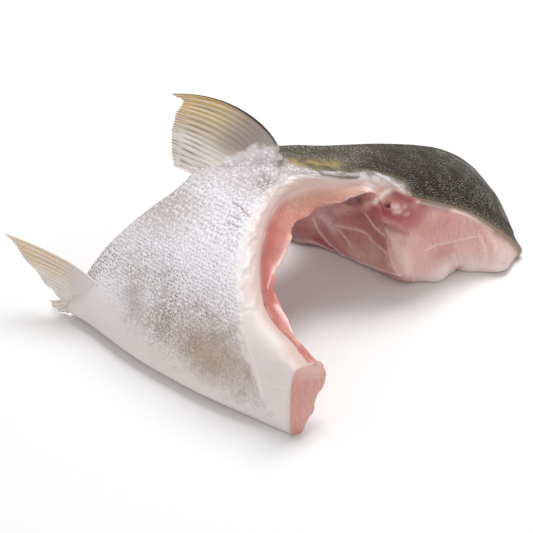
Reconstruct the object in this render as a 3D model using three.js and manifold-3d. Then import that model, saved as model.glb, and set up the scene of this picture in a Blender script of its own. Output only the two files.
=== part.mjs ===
// A raw yellowtail collar: the shoulder of one side of the fish, lying on the middle plane that the
// knife opened, with its skin up. X runs towards the head, Y from the belly line to the back and Z out
// of the fish's side. One solid holds the flesh, its skin and the fins that grow from it.
import * as THREE from "three";
import { mergeVertices } from "three/addons/utils/BufferGeometryUtils.js";
import Module from "manifold-3d";

// Driving dimensions, in millimetres. "Behind" is a distance from the throat towards the tail, "rise" a
// height above the belly line, both on the middle plane, and "out" a distance from that plane.
const BELLY_LENGTH = 140; // throat to the rear corner, along the belly line
const BELLY_SAG = 7.5; // how far the belly line bows out between those two
const BACK_RISE = 172; // back line over the throat
const BACK_CLIMB = 0.6; // how much the back line rises for each step behind
const WIDEST_RISE = 80; // where the flank is widest
const HALF_WIDTH = 64; // middle plane to the flank there
const THROAT_HALF_WIDTH = 37.5; // the same under the throat
const NAPE_HALF_WIDTH = 47; // and over it
const HEAD_LENGTH = 70; // stretch over which both widen to the flank

// Squareness of the section, 2 being an ellipse and less a sharper one
const THROAT_POWER = 4.2; // below the widest rise, at the throat
const BELLY_POWER = 2.1; // and past the throat
const THROAT_CORNER = 3; // how much squarer the section is right at the throat cut
const THROAT_CORNER_LENGTH = 12; // and how far behind that cut this reaches
const NAPE_POWER = 1.4; // above the widest rise, at the nape
const BACK_POWER = 1.92; // and past the nape
const NAPE_FROM = 28; // where the nape starts to fill out
const NAPE_LENGTH = 26; // and the stretch over which it does

// The body cavity, a tunnel along the fish under the flank
const WALL = 17; // flank over the crown of the cavity
const THROAT_WALL = 8; // and under the throat
const FOOT_WIDTH = 16; // belly wall on the middle plane
const THROAT_FOOT_WIDTH = 5.5; // and at the throat
const THROAT_FOOT_LENGTH = 40; // stretch over which it widens
const CAVITY_BELLY_POWER = 2.3;
const CAVITY_BACK_POWER = 3.4;
const CAVITY_NAPE_REACH = 53; // from the widest rise to the foot of the back muscle, at the nape
const CAVITY_BACK_REACH = 43; // and past it

// The gill opening's edge on the skin, from the throat, and the knife cut that goes on over the nape
const GILL_EDGE = [
  { behind: 2, rise: 4.5 },
  { behind: 18, rise: 11.5 },
  { behind: 34, rise: 15 },
  { behind: 51, rise: 29 },
  { behind: 65.5, rise: 48.5 },
  { behind: 73, rise: 66 },
  { behind: 74.5, rise: 78 },
  { behind: 72.5, rise: 88.5 },
  { behind: 64.5, rise: 98 },
  { behind: 57, rise: 110 },
  { behind: 51.5, rise: 116 },
  { behind: 43, rise: 118 },
  { behind: 39.5, rise: 127 },
  { behind: 36.5, rise: 144 },
  { behind: 33.5, rise: 162 },
  { behind: 25, rise: 187 },
];
// The cut towards the tail, from the belly corner up to the back
const REAR_EDGE = [
  { behind: BELLY_LENGTH, rise: 0 },
  { behind: 128, rise: 8 },
  { behind: 119, rise: 24 },
  { behind: 112, rise: 45 },
  { behind: 111, rise: 70 },
  { behind: 104, rise: 97 },
  { behind: 88, rise: 120 },
  { behind: 80, rise: 145 },
  { behind: 74, rise: 178 },
  { behind: 67, rise: 212.2 },
];

// The gill face under that edge
const LIP_DEPTH = [16, 10, 14, 17, 20, 20, 17, 12, 6]; // at even steps from the throat to its end
const LIP_END = 0.63; // place along the edge where the nape cut starts to take over
const LIP_BLEND = 0.4; // share of a row over which the lip thickens to the wall
const NAPE_START = 0.72; // place along the edge where the nape cut is at its full depth
// How far the lip stands towards the head, at even steps from the throat to that place
const LIP_FORWARD = [0, 0, 5, 1, 1.5, 7, 9, 6.5, 7, 6.5, 5, 2.5, 0];
const RIM_ROLL = 13; // width of the smooth skin that rolls over the gill edge
const RIM_DROP = 6; // how far it rolls down
const RIM_SHARE = 0.4; // the most of the lip's depth that it may take
const THROAT_RIM_ROLL = 4; // the same three at the throat, where the skin folds over a sharper corner
const THROAT_RIM_DROP = 12.5;
const THROAT_RIM_SHARE = 0.78;
const THROAT_RIM_ROWS = 0.12; // rows over which that corner softens to the rim
const GILL_HOLLOW = 2.5; // how deep the gill face is dished

// The nape cut through the back muscle, whose foot bulges in two lobes, and the lean of the rear cut
const NAPE_TURN = 0.35; // how far the nape cut runs towards the head for each step up
const NAPE_LOBES = [
  { at: 0.3, spread: 0.2, forward: 9 }, // from skin to cavity, and how far it stands towards the head
  { at: 0.82, spread: 0.12, forward: 2.5 },
];
const NAPE_LOBES_FROM = 0.86; // row where they start to stand out
const REAR_SLANT = 50; // how far the rear cut runs back on its way from the back line to the cavity
const REAR_SLANT_FROM = 0.55; // row where it starts to

// Fins: the base on the skin from the first ray to the last, by degrees round from the belly line, the
// first, middle and last ray, and how far the first ray arches out and the margin waves
const PECTORAL_FIN = {
  base: [
    { behind: 88, degrees: 94 },
    { behind: 112, degrees: 67 },
  ],
  rays: [
    { behind: 48.5, rise: -22, out: 27 },
    { behind: 28, rise: -10, out: 15.5 },
    { behind: 8, rise: -1, out: 1.5 },
  ],
  arch: 37,
  wave: 1.2,
  rootThickness: 8,
};
const PELVIC_FIN = {
  base: [
    { behind: 121, degrees: 15 },
    { behind: 138, degrees: 2 },
  ],
  rays: [
    { behind: 49, rise: -8, out: 10 },
    { behind: 24, rise: -4, out: 5.5 },
    { behind: 7, rise: -3, out: 6.5 },
  ],
  arch: 11,
  wave: 0.8,
  rootThickness: 4,
};
const PELVIC_STUB = {
  base: [
    { behind: 134, degrees: 7 },
    { behind: 138, degrees: 2 },
  ],
  rays: [
    { behind: 18, rise: 1, out: -4 },
    { behind: 12, rise: 1, out: -1.5 },
    { behind: 6, rise: 1, out: 0.5 },
  ],
  arch: 2,
  wave: 0.4,
  rootThickness: 2.4,
};
const FIN_THICKNESS = 1.3; // past the fleshy root
const FIN_ROOT = 0.22; // length of that root, as a share of a ray
const FIN_SUNK = 0.14; // how far a ray reaches back into the flesh, as a share of its length
const FIN_END = 0.12; // how far the root's swelling is cut off at both ends of the base
const FIN_WAVES = 2.5; // waves along a fin's margin
const ARCH_FADE = 1.5; // how soon the arch dies away from the first ray to the last
const LOBE_HEIGHT = 3; // swelling of the skin along the pectoral fin's base
const LOBE_WIDTH = 10;

// Mesh steps
const ROWS = 64; // along the collar, throat to back
const COLUMNS = 22; // gill edge to rear edge
const LAYERS = 6; // skin to cavity
const CORNER_ROW = 0.36; // row that ends at the belly corner
const FIN_STEPS = 14; // along a fin's base
const RAY_STEPS = 10; // along its rays
const HALVINGS = 40; // steps in the search for an angle

const smooth = (x) => THREE.MathUtils.smoothstep(x, 0, 1);
const mix = THREE.MathUtils.lerp;

// Section of the fish across its length, in polar form about the middle plane at the widest rise. The
// angle is 0 at the belly line and pi at the back line.
function superRadius(angle, reach, height, power) {
  const across = Math.abs(Math.cos(angle)) / reach;
  const out = Math.sin(angle) / height;
  return (across ** power + out ** power) ** (-1 / power);
}

const bellyDepth = (behind) => WIDEST_RISE + BELLY_SAG * Math.sin((Math.PI * behind) / BELLY_LENGTH);

const headShare = (behind) => smooth(behind / HEAD_LENGTH);

const napeShare = (behind) => smooth((behind - NAPE_FROM) / NAPE_LENGTH);

const throatCorner = (behind) => THROAT_CORNER * Math.exp(-((behind / THROAT_CORNER_LENGTH) ** 2));

function halfWidth(behind, angle) {
  const atHead = angle < Math.PI / 2 ? THROAT_HALF_WIDTH : NAPE_HALF_WIDTH;
  return mix(atHead, HALF_WIDTH, headShare(behind));
}

function skinRadius(behind, angle) {
  if (angle < Math.PI / 2) {
    const power = mix(THROAT_POWER, BELLY_POWER, headShare(behind)) + throatCorner(behind);
    return superRadius(angle, bellyDepth(behind), halfWidth(behind, angle), power);
  }
  const power = mix(NAPE_POWER, BACK_POWER, napeShare(behind));
  const reach = BACK_RISE + BACK_CLIMB * behind - WIDEST_RISE;
  return superRadius(angle, reach, halfWidth(behind, angle), power);
}

function cavityRadius(behind, angle) {
  const width = halfWidth(behind, angle);
  if (angle < Math.PI / 2) {
    const height = width - mix(THROAT_WALL, WALL, headShare(behind));
    const foot = mix(THROAT_FOOT_WIDTH, FOOT_WIDTH, smooth(behind / THROAT_FOOT_LENGTH));
    return superRadius(angle, bellyDepth(behind) - foot, height, CAVITY_BELLY_POWER);
  }
  const reach = mix(CAVITY_NAPE_REACH, CAVITY_BACK_REACH, napeShare(behind));
  return superRadius(angle, reach, width - WALL, CAVITY_BACK_POWER);
}

// The angle at which the skin has a given rise
function angleAtRise(behind, rise) {
  let low = 0;
  let high = Math.PI;
  for (let step = 0; step < HALVINGS; step += 1) {
    const middle = (low + high) / 2;
    const reached = WIDEST_RISE - skinRadius(behind, middle) * Math.cos(middle);
    if (reached < rise) low = middle;
    else high = middle;
  }
  return (low + high) / 2;
}

// An edge as a smooth curve of (behind, angle), by the share of its length
function edgeCurve(places) {
  const points = places.map(
    ({ behind, rise }) => new THREE.Vector3(behind, angleAtRise(behind, rise) * WIDEST_RISE, 0),
  );
  const curve = new THREE.CatmullRomCurve3(points, false, "centripetal");
  return (share) => {
    const point = curve.getPointAt(THREE.MathUtils.clamp(share, 0, 1));
    return { behind: point.x, angle: point.y / WIDEST_RISE };
  };
}

const gillEdge = edgeCurve(GILL_EDGE);
const rearEdge = edgeCurve(REAR_EDGE);

// The far end of a row: along the belly line up to the corner, then up the rear cut
function rowEnd(u) {
  if (u < CORNER_ROW) {
    return { behind: mix(GILL_EDGE[0].behind, BELLY_LENGTH, u / CORNER_ROW), angle: 0 };
  }
  return rearEdge((u - CORNER_ROW) / (1 - CORNER_ROW));
}

function polarPoint(behind, angle, radius) {
  const rise = WIDEST_RISE - radius * Math.cos(angle);
  return new THREE.Vector3(-behind, rise, radius * Math.sin(angle));
}

const bareSkin = (behind, angle) => polarPoint(behind, angle, skinRadius(behind, angle));

// The value at a share of the way along a list with even steps
function valueAlong(values, share) {
  const scaled = Math.min(share, 1) * (values.length - 1);
  const index = Math.min(Math.floor(scaled), values.length - 2);
  return mix(values[index], values[index + 1], scaled - index);
}

// Depth of the gill face at a place along the gill edge, given the wall's own depth there
function lipDepth(u, wall, napeCut) {
  const lip = valueAlong(LIP_DEPTH, u / LIP_END);
  return mix(Math.min(lip, wall), wall, napeCut);
}

// How far the foot of the nape cut stands towards the head
function napeLobes(u, w) {
  const low = smooth((u - NAPE_LOBES_FROM) / (1 - NAPE_LOBES_FROM));
  const bulge = ({ at, spread, forward }) => forward * Math.exp(-(((w - at) / spread) ** 2));
  return low * NAPE_LOBES.reduce((sum, lobe) => sum + bulge(lobe), 0);
}

// Swelling of the skin along the base of the pectoral fin
const [lobeFront, lobeBack] = PECTORAL_FIN.base.map(({ behind, degrees }) =>
  bareSkin(behind, THREE.MathUtils.degToRad(degrees)),
);
const lobeLine = new THREE.Line3(lobeFront, lobeBack);
const nearest = new THREE.Vector3();
function finLobe(skin) {
  lobeLine.closestPointToPoint(skin, true, nearest);
  return LOBE_HEIGHT * Math.exp(-((nearest.distanceTo(skin) / LOBE_WIDTH) ** 2));
}

// A point of the collar: u from throat to back, t from gill edge to rear edge, w from skin to cavity
function collarPoint(u, t, w) {
  const near = gillEdge(u);
  const far = rowEnd(u);
  const angle = mix(near.angle, far.angle, t);
  const fromGill = 1 - smooth(t / LIP_BLEND);
  const napeCut = smooth((u - LIP_END) / (NAPE_START - LIP_END));
  const gillShare = 1 - napeCut;

  // How far the gill face and the two cuts move the place along the fish
  const forward = valueAlong(LIP_FORWARD, u / NAPE_START);
  const inner = polarPoint(near.behind, near.angle, cavityRadius(near.behind, near.angle));
  const edge = bareSkin(near.behind, near.angle);
  const napeStep = NAPE_TURN * (edge.y - inner.y) * napeCut;
  const rearStep = REAR_SLANT * smooth((u - REAR_SLANT_FROM) / (1 - REAR_SLANT_FROM)) ** 2;
  const nearBehind = near.behind + napeStep * w - forward * w * fromGill - napeLobes(u, w);
  const behind = mix(nearBehind, far.behind + rearStep * w, t);

  const outer = skinRadius(behind, angle);
  const wall = outer - cavityRadius(behind, angle);
  const skin = polarPoint(behind, angle, outer);
  const settled = smooth(u / THROAT_RIM_ROWS);
  const fromEdge = Math.min(edge.distanceTo(skin) / mix(THROAT_RIM_ROLL, RIM_ROLL, settled), 1);
  const drop = mix(THROAT_RIM_DROP, RIM_DROP, settled) * gillShare;
  const roll = drop * (1 - Math.sqrt(1 - (1 - fromEdge) ** 2));
  const deep = mix(wall, lipDepth(u, wall, napeCut), fromGill);
  const deepest = deep * mix(THROAT_RIM_SHARE, RIM_SHARE, settled);
  const depth = mix(Math.min(roll, deepest), deep, w) - finLobe(skin) * (1 - w);
  const point = polarPoint(behind, angle, outer - depth);
  if (t === 0) point.x -= GILL_HOLLOW * Math.sin(Math.PI * w) * gillShare;
  point.z = Math.max(point.z, 0);
  return point;
}

// A closed block of steps whose points are carried to another form
function carriedBlock(steps, carry) {
  const block = new THREE.BoxGeometry(1, 1, 1, ...steps);
  block.deleteAttribute("normal");
  block.deleteAttribute("uv");
  const merged = mergeVertices(block);
  const places = merged.getAttribute("position");
  for (let i = 0; i < places.count; i += 1) {
    const point = carry(places.getX(i) + 0.5, places.getY(i) + 0.5, 0.5 - places.getZ(i));
    places.setXYZ(i, point.x, point.y, point.z);
  }
  return merged;
}

// A fin as a thin sheet, wavy at its margin, with both faces split into triangles alike
const vectorOf = ({ behind, rise, out }) => new THREE.Vector3(-behind, rise, out);

function finSheet({ base, rays, arch, wave, rootThickness }) {
  const [first, middle, last] = rays.map(vectorOf);
  const [front, back] = base;
  const basePoint = (s) => {
    const behind = mix(front.behind, back.behind, s);
    return bareSkin(behind, THREE.MathUtils.degToRad(mix(front.degrees, back.degrees, s)));
  };
  const normal = basePoint(1).sub(basePoint(0)).cross(middle).normalize();
  const positions = [];
  for (const side of [1, -1]) {
    for (let i = 0; i <= FIN_STEPS; i += 1) {
      const s = i / FIN_STEPS;
      const ray = new THREE.Vector3()
        .addScaledVector(first, (1 - s) * (1 - 2 * s))
        .addScaledVector(middle, 4 * s * (1 - s))
        .addScaledVector(last, s * (2 * s - 1));
      const ends = Math.sin(Math.PI * mix(FIN_END, 1 - FIN_END, s));
      for (let j = 0; j <= RAY_STEPS; j += 1) {
        const r = mix(-FIN_SUNK, 1, j / RAY_STEPS);
        const out = Math.max(r, 0);
        const fleshy = (rootThickness - FIN_THICKNESS) * ends * Math.exp(-((out / FIN_ROOT) ** 2));
        const waving = wave * out * Math.sin(2 * Math.PI * FIN_WAVES * s);
        const point = basePoint(s).addScaledVector(ray, r);
        point.addScaledVector(normal, waving + (side * (FIN_THICKNESS + fleshy)) / 2);
        point.z += arch * (1 - s) ** ARCH_FADE * Math.sqrt(out) * (1 - out);
        positions.push(point.x, point.y, point.z);
      }
    }
  }
  return closedSheet(positions, FIN_STEPS, RAY_STEPS);
}

// Two grids of points, one over the other, closed round their edge
function closedSheet(positions, steps, raySteps) {
  const width = raySteps + 1;
  const layer = (steps + 1) * width;
  const triangles = [];
  const quad = (a, b, c, d) => triangles.push(a, b, c, a, c, d);
  for (let i = 0; i < steps; i += 1) {
    for (let j = 0; j < raySteps; j += 1) {
      const corner = i * width + j;
      const across = corner + width;
      triangles.push(corner, across, across + 1, corner, across + 1, corner + 1);
      const [under, beyond] = [corner + layer, across + layer];
      triangles.push(under, beyond + 1, beyond, under, under + 1, beyond + 1);
    }
    const [root, tip] = [i * width, i * width + raySteps];
    quad(root, root + layer, root + width + layer, root + width);
    quad(tip, tip + width, tip + width + layer, tip + layer);
  }
  const lastRay = steps * width;
  for (let j = 0; j < raySteps; j += 1) {
    quad(j, j + 1, j + 1 + layer, j + layer);
    quad(lastRay + j, lastRay + j + layer, lastRay + j + 1 + layer, lastRay + j + 1);
  }
  const sheet = new THREE.BufferGeometry();
  sheet.setAttribute("position", new THREE.Float32BufferAttribute(positions, 3));
  sheet.setIndex(triangles);
  return sheet;
}

// Joining
const wasm = await Module();
wasm.setup();

function solidOf(geometry) {
  const vertProperties = new Float32Array(geometry.getAttribute("position").array);
  const triVerts = new Uint32Array(geometry.index.array);
  return new wasm.Manifold(new wasm.Mesh({ numProp: 3, vertProperties, triVerts }));
}

const flesh = solidOf(carriedBlock([ROWS, COLUMNS, LAYERS], collarPoint));
const joined = [PECTORAL_FIN, PELVIC_FIN, PELVIC_STUB]
  .map((fin) => solidOf(finSheet(fin)))
  .reduce((whole, fin) => whole.add(fin), flesh)
  .getMesh();

const geometry = new THREE.BufferGeometry();
geometry.setAttribute("position", new THREE.Float32BufferAttribute(joined.vertProperties, 3));
geometry.setIndex(Array.from(joined.triVerts));

// The origin is under the middle of the part, on the plane that it lies on
geometry.computeBoundingBox();
const middle = geometry.boundingBox.getCenter(new THREE.Vector3());
geometry.translate(-middle.x, -middle.y, -geometry.boundingBox.min.z);

const collar = new THREE.Mesh(
  geometry,
  new THREE.MeshStandardMaterial({ color: 0xd8d2d2, roughness: 0.35, metalness: 0 }),
);
collar.name = "collar";

const group = new THREE.Group();
group.add(collar);
export default group;
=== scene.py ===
"""Looks of a raw yellowtail collar: its skin, cut flesh and fins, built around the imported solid."""
import math
from types import SimpleNamespace

import bpy
import numpy as np
from mathutils import Matrix, Vector


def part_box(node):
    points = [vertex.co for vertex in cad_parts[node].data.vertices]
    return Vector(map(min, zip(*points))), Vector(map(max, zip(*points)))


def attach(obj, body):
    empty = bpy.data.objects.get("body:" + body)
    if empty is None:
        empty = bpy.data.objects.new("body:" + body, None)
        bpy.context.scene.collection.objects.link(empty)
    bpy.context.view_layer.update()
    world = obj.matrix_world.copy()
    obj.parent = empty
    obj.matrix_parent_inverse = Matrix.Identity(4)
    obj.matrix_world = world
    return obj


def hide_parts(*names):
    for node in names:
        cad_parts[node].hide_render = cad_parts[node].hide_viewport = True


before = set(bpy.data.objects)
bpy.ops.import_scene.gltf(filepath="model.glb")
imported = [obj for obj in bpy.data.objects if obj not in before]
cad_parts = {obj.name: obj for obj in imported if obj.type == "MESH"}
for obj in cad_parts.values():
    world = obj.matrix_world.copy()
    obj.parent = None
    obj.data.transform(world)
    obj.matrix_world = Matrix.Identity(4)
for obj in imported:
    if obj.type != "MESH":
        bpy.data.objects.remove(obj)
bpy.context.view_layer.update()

MM = 0.001

# Driving dimensions of the form, in millimetres. "Behind" is a distance from the throat towards the tail,
# "rise" a height above the belly line, both on the middle plane, and "out" a distance from that plane.
BELLY_LENGTH = 140.0
BELLY_SAG = 7.5
BACK_RISE = 172.0
BACK_CLIMB = 0.6
WIDEST_RISE = 80.0
HALF_WIDTH = 64.0
THROAT_HALF_WIDTH = 37.5
NAPE_HALF_WIDTH = 47.0
HEAD_LENGTH = 70.0
THROAT_POWER = 4.2
THROAT_CORNER = 3.0
THROAT_CORNER_LENGTH = 12.0
BELLY_POWER = 2.1
NAPE_POWER = 1.4
BACK_POWER = 1.92
NAPE_FROM = 28.0
NAPE_LENGTH = 26.0

# The body cavity under the flank
WALL = 17.0
THROAT_WALL = 8.0
FOOT_WIDTH = 16.0
THROAT_FOOT_WIDTH = 5.5
THROAT_FOOT_LENGTH = 40.0
CAVITY_BELLY_POWER = 2.3
CAVITY_BACK_POWER = 3.4
CAVITY_NAPE_REACH = 53.0
CAVITY_BACK_REACH = 43.0

# Edges on the skin as (behind, rise): the gill opening and nape cut, and the cut towards the tail
GILL_EDGE = [
    (2, 4.5), (18, 11.5), (34, 15), (51, 29), (65.5, 48.5), (73, 66), (74.5, 78), (72.5, 88.5),
    (64.5, 98), (57, 110), (51.5, 116), (43, 118), (39.5, 127), (36.5, 144), (33.5, 162), (25, 187),
]
REAR_EDGE = [
    (BELLY_LENGTH, 0), (128, 8), (119, 24), (112, 45), (111, 70), (104, 97), (88, 120), (80, 145),
    (74, 178), (67, 212.2),
]
CURVE_STEPS = 200
HALVINGS = 40

# The gill face under the first edge, and the cuts
LIP_DEPTH = [16, 10, 14, 17, 20, 20, 17, 12, 6]
LIP_END = 0.63
LIP_BLEND = 0.4
NAPE_START = 0.72
LIP_FORWARD = [0, 0, 5, 1, 1.5, 7, 9, 6.5, 7, 6.5, 5, 2.5, 0]
RIM_ROLL = 13.0
RIM_DROP = 6.0
RIM_SHARE = 0.4
THROAT_RIM_ROLL = 4.0
THROAT_RIM_DROP = 12.5
THROAT_RIM_SHARE = 0.78
THROAT_RIM_ROWS = 0.12
GILL_HOLLOW = 2.5
NAPE_TURN = 0.35
NAPE_LOBES = [(0.3, 0.2, 9.0), (0.82, 0.12, 2.5)]
NAPE_LOBES_FROM = 0.86
REAR_SLANT = 50.0
REAR_SLANT_FROM = 0.55
CORNER_ROW = 0.36

# Fins: base on the skin as (behind, degrees round from the belly line), and the first, middle and last
# ray as (behind, rise, out). Then how far the first ray arches, the sheet waves and the root is thick,
# the share by which the margin runs in behind the tip, and the skin's swelling as (height, width).
PECTORAL = dict(
    base=[(88, 94), (112, 67)],
    rays=[(48.5, -22, 27), (33, -12, 15.5), (13, -3, 1.5)],
    arch=37.0, wave=1.2, root=8.0, notch=0.09, lobe=(3.0, 10.0),
)
PELVIC = dict(
    base=[(121, 15), (138, 2)],
    rays=[(54, -9, 10.5), (28, -5, 5.5), (8, -3.5, 6.5)],
    arch=11.0, wave=0.5, root=2.2, notch=0.0, lobe=(1.8, 6.0),
)
STUB = dict(
    base=[(134, 7), (138, 2)],
    rays=[(20, -1.3, -7.9), (12, -2.6, -5.8), (3.5, -0.7, -2.5)],
    arch=2.0, wave=0.4, root=2.4, notch=0.0,
)
FIN_ROOT = 0.22  # share of a fin's length over which its thick root thins out
FIN_SUNK = 0.14  # share by which it reaches under the skin
FIN_END = 0.12  # along the base the root swells over a half wave, less this share at each end
FIN_WAVES = 2.5  # waves across a fin
ARCH_FADE = 1.5  # how fast the arch fades from the first ray to the last


def smooth(x):
    x = np.clip(x, 0.0, 1.0)
    return x * x * (3.0 - 2.0 * x)


def ramp(value, start, end):
    """0 before the start and 1 past the end, smooth between. The end may be the lower of the two."""
    return smooth((value - start) / (end - start))


def bell(value, middle, spread):
    return np.exp(-(((value - middle) / spread) ** 2))


def mix(a, b, share):
    return a + (b - a) * share


def from_zero(wave):
    """A wave from -1 to 1 carried to the range from 0 to 1."""
    return 0.5 + 0.5 * wave


# Section of the fish across its length, in polar form about the middle plane at the widest rise
def super_radius(angle, reach, height, power):
    across = np.abs(np.cos(angle)) / reach
    out = np.maximum(np.sin(angle), 0.0) / height
    return (across ** power + out ** power) ** (-1.0 / power)


def belly_depth(behind):
    return WIDEST_RISE + BELLY_SAG * np.sin(np.pi * behind / BELLY_LENGTH)


def head_share(behind):
    return smooth(behind / HEAD_LENGTH)


def nape_share(behind):
    return smooth((behind - NAPE_FROM) / NAPE_LENGTH)


def half_width(behind, angle):
    at_head = np.where(angle < np.pi / 2, THROAT_HALF_WIDTH, NAPE_HALF_WIDTH)
    return mix(at_head, HALF_WIDTH, head_share(behind))


def throat_corner(behind):
    return THROAT_CORNER * bell(behind, 0.0, THROAT_CORNER_LENGTH)


def skin_radius(behind, angle):
    belly = angle < np.pi / 2
    belly_power = mix(THROAT_POWER, BELLY_POWER, head_share(behind)) + throat_corner(behind)
    back_power = mix(NAPE_POWER, BACK_POWER, nape_share(behind))
    reach = np.where(belly, belly_depth(behind), BACK_RISE + BACK_CLIMB * behind - WIDEST_RISE)
    return super_radius(angle, reach, half_width(behind, angle), np.where(belly, belly_power, back_power))


def cavity_radius(behind, angle):
    belly = angle < np.pi / 2
    wall = np.where(belly, mix(THROAT_WALL, WALL, head_share(behind)), WALL)
    foot = mix(THROAT_FOOT_WIDTH, FOOT_WIDTH, smooth(behind / THROAT_FOOT_LENGTH))
    back_reach = mix(CAVITY_NAPE_REACH, CAVITY_BACK_REACH, nape_share(behind))
    reach = np.where(belly, belly_depth(behind) - foot, back_reach)
    power = np.where(belly, CAVITY_BELLY_POWER, CAVITY_BACK_POWER)
    return super_radius(angle, reach, half_width(behind, angle) - wall, power)


def polar_point(behind, angle, radius):
    rise = WIDEST_RISE - radius * np.cos(angle)
    return np.stack([-behind, rise, radius * np.sin(angle)], axis=-1)


def bare_skin(behind, angle):
    return polar_point(behind, angle, skin_radius(behind, angle))


def angle_at_rise(behind, rise):
    low = np.zeros_like(behind)
    high = np.full_like(behind, np.pi)
    for _ in range(HALVINGS):
        middle = (low + high) / 2
        below = WIDEST_RISE - skin_radius(behind, middle) * np.cos(middle) < rise
        low = np.where(below, middle, low)
        high = np.where(below, high, middle)
    return (low + high) / 2


def edge_curve(places):
    """An edge as a smooth curve of (behind, angle), by the share of its length."""
    behind, rise = np.array(places, dtype=float).T
    knots = np.column_stack([behind, angle_at_rise(behind, rise) * WIDEST_RISE])
    knots = np.vstack([2 * knots[0] - knots[1], knots, 2 * knots[-1] - knots[-2]])
    gaps = np.sqrt(np.linalg.norm(np.diff(knots, axis=0), axis=1))[:, None]

    def at(place):
        place = np.clip(place, 0.0, 1.0) * (len(places) - 1)
        k = np.minimum(place.astype(int), len(places) - 2)
        f = (place - k)[:, None]
        before, start, end, after = (knots[k + i] for i in range(4))
        gap0, gap1, gap2 = (gaps[k + i] for i in range(3))
        leave = (start - before) / gap0 - (end - before) / (gap0 + gap1) + (end - start) / gap1
        arrive = (end - start) / gap1 - (after - start) / (gap1 + gap2) + (after - end) / gap2
        leave, arrive = leave * gap1, arrive * gap1
        bend = (3 * (end - start) - 2 * leave - arrive) * f ** 2
        return start + leave * f + bend + (2 * (start - end) + leave + arrive) * f ** 3

    steps = np.linspace(0.0, 1.0, CURVE_STEPS + 1)
    lengths = np.cumsum(np.linalg.norm(np.diff(at(steps), axis=0), axis=1))
    shares = np.concatenate([[0.0], lengths / lengths[-1]])

    def curve(share):
        point = at(np.interp(share, shares, steps))
        return point[:, 0], point[:, 1] / WIDEST_RISE

    return curve


gill_edge = edge_curve(GILL_EDGE)
rear_edge = edge_curve(REAR_EDGE)


def row_end(u):
    """The far end of a row: along the belly line up to the corner, then up the rear cut."""
    rear_behind, rear_angle = rear_edge((u - CORNER_ROW) / (1 - CORNER_ROW))
    on_belly = u < CORNER_ROW
    behind = np.where(on_belly, mix(GILL_EDGE[0][0], BELLY_LENGTH, u / CORNER_ROW), rear_behind)
    return behind, np.where(on_belly, 0.0, rear_angle)


def along(values, share):
    """The value at a share of the way along a list with even steps."""
    return np.interp(share, np.linspace(0.0, 1.0, len(values)), values)


def fin_lobe(skin, fin):
    """Swelling of the skin along the base of a fin."""
    base = np.array(fin["base"], dtype=float)
    front, back = bare_skin(base[:, 0], np.radians(base[:, 1]))
    line = back - front
    share = np.clip((skin - front) @ line / (line @ line), 0.0, 1.0)
    gap = np.linalg.norm(skin - (front + share[:, None] * line), axis=1)
    height, width = fin["lobe"]
    return height * bell(gap, 0.0, width)


def collar_point(u, t, w):
    """Points of the collar: u from throat to back, t from gill edge to rear edge, w from skin to cavity.

    Gives the points, how far behind the throat they lie, their angle and their gap to the gill edge."""
    near_behind, near_angle = gill_edge(u)
    far_behind, far_angle = row_end(u)
    angle = mix(near_angle, far_angle, t)
    from_gill = 1 - smooth(t / LIP_BLEND)
    nape_cut = ramp(u, LIP_END, NAPE_START)
    gill_share = 1 - nape_cut

    forward = along(LIP_FORWARD, u / NAPE_START)
    inner = polar_point(near_behind, near_angle, cavity_radius(near_behind, near_angle))
    edge = bare_skin(near_behind, near_angle)
    nape_step = NAPE_TURN * (edge[:, 1] - inner[:, 1]) * nape_cut
    rear_step = REAR_SLANT * ramp(u, REAR_SLANT_FROM, 1.0) ** 2
    low = ramp(u, NAPE_LOBES_FROM, 1.0)
    lobes = sum(size * bell(w, at, spread) for at, spread, size in NAPE_LOBES) * low
    start = near_behind + nape_step * w - forward * w * from_gill - lobes
    behind = mix(start, far_behind + rear_step * w, t)

    outer = skin_radius(behind, angle)
    wall = outer - cavity_radius(behind, angle)
    skin = polar_point(behind, angle, outer)
    gap = np.linalg.norm(edge - bare_skin(mix(near_behind, far_behind, t), angle), axis=1)
    settled = smooth(u / THROAT_RIM_ROWS)
    from_edge = np.minimum(gap / mix(THROAT_RIM_ROLL, RIM_ROLL, settled), 1.0)
    drop = mix(THROAT_RIM_DROP, RIM_DROP, settled) * gill_share
    roll = drop * (1 - np.sqrt(1 - (1 - from_edge) ** 2))
    lip = np.minimum(along(LIP_DEPTH, u / LIP_END), wall)
    deep = mix(wall, mix(lip, wall, nape_cut), from_gill)
    deepest = deep * mix(THROAT_RIM_SHARE, RIM_SHARE, settled)
    lobe = fin_lobe(skin, PECTORAL) + fin_lobe(skin, PELVIC)
    depth = mix(np.minimum(roll, deepest), deep, w) - lobe * (1 - w)
    point = polar_point(behind, angle, outer - depth)
    point[:, 0] -= np.where(t == 0, GILL_HOLLOW * np.sin(np.pi * w) * gill_share, 0.0)
    point[:, 2] = np.maximum(point[:, 2], 0.0)
    return point, behind, angle, gap


# Meshes on the six sides of a block of steps
SIDES = ("skin", "cavity", "gill", "rear", "throat", "back")


def grid_faces(grid, step, turned):
    """Faces over a grid of point numbers. Coarse cells keep the fine points along the grid's border."""
    rows, columns = grid.shape[0] - 1, grid.shape[1] - 1
    faces = []
    for i in range(0, rows, step):
        for j in range(0, columns, step):
            k, m = i + step, j + step
            near = grid[i:k, j] if j == 0 else grid[i:i + 1, j]
            low = grid[k, j:m] if k == rows else grid[k, j:j + 1]
            far = grid[k:i:-1, m] if m == columns else grid[k:k + 1, m]
            high = grid[i, m:j:-1] if i == 0 else grid[i, m:m + 1]
            face = np.concatenate([near, low, far, high]).tolist()
            faces.append(face[::-1] if turned else face)
    return faces


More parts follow.
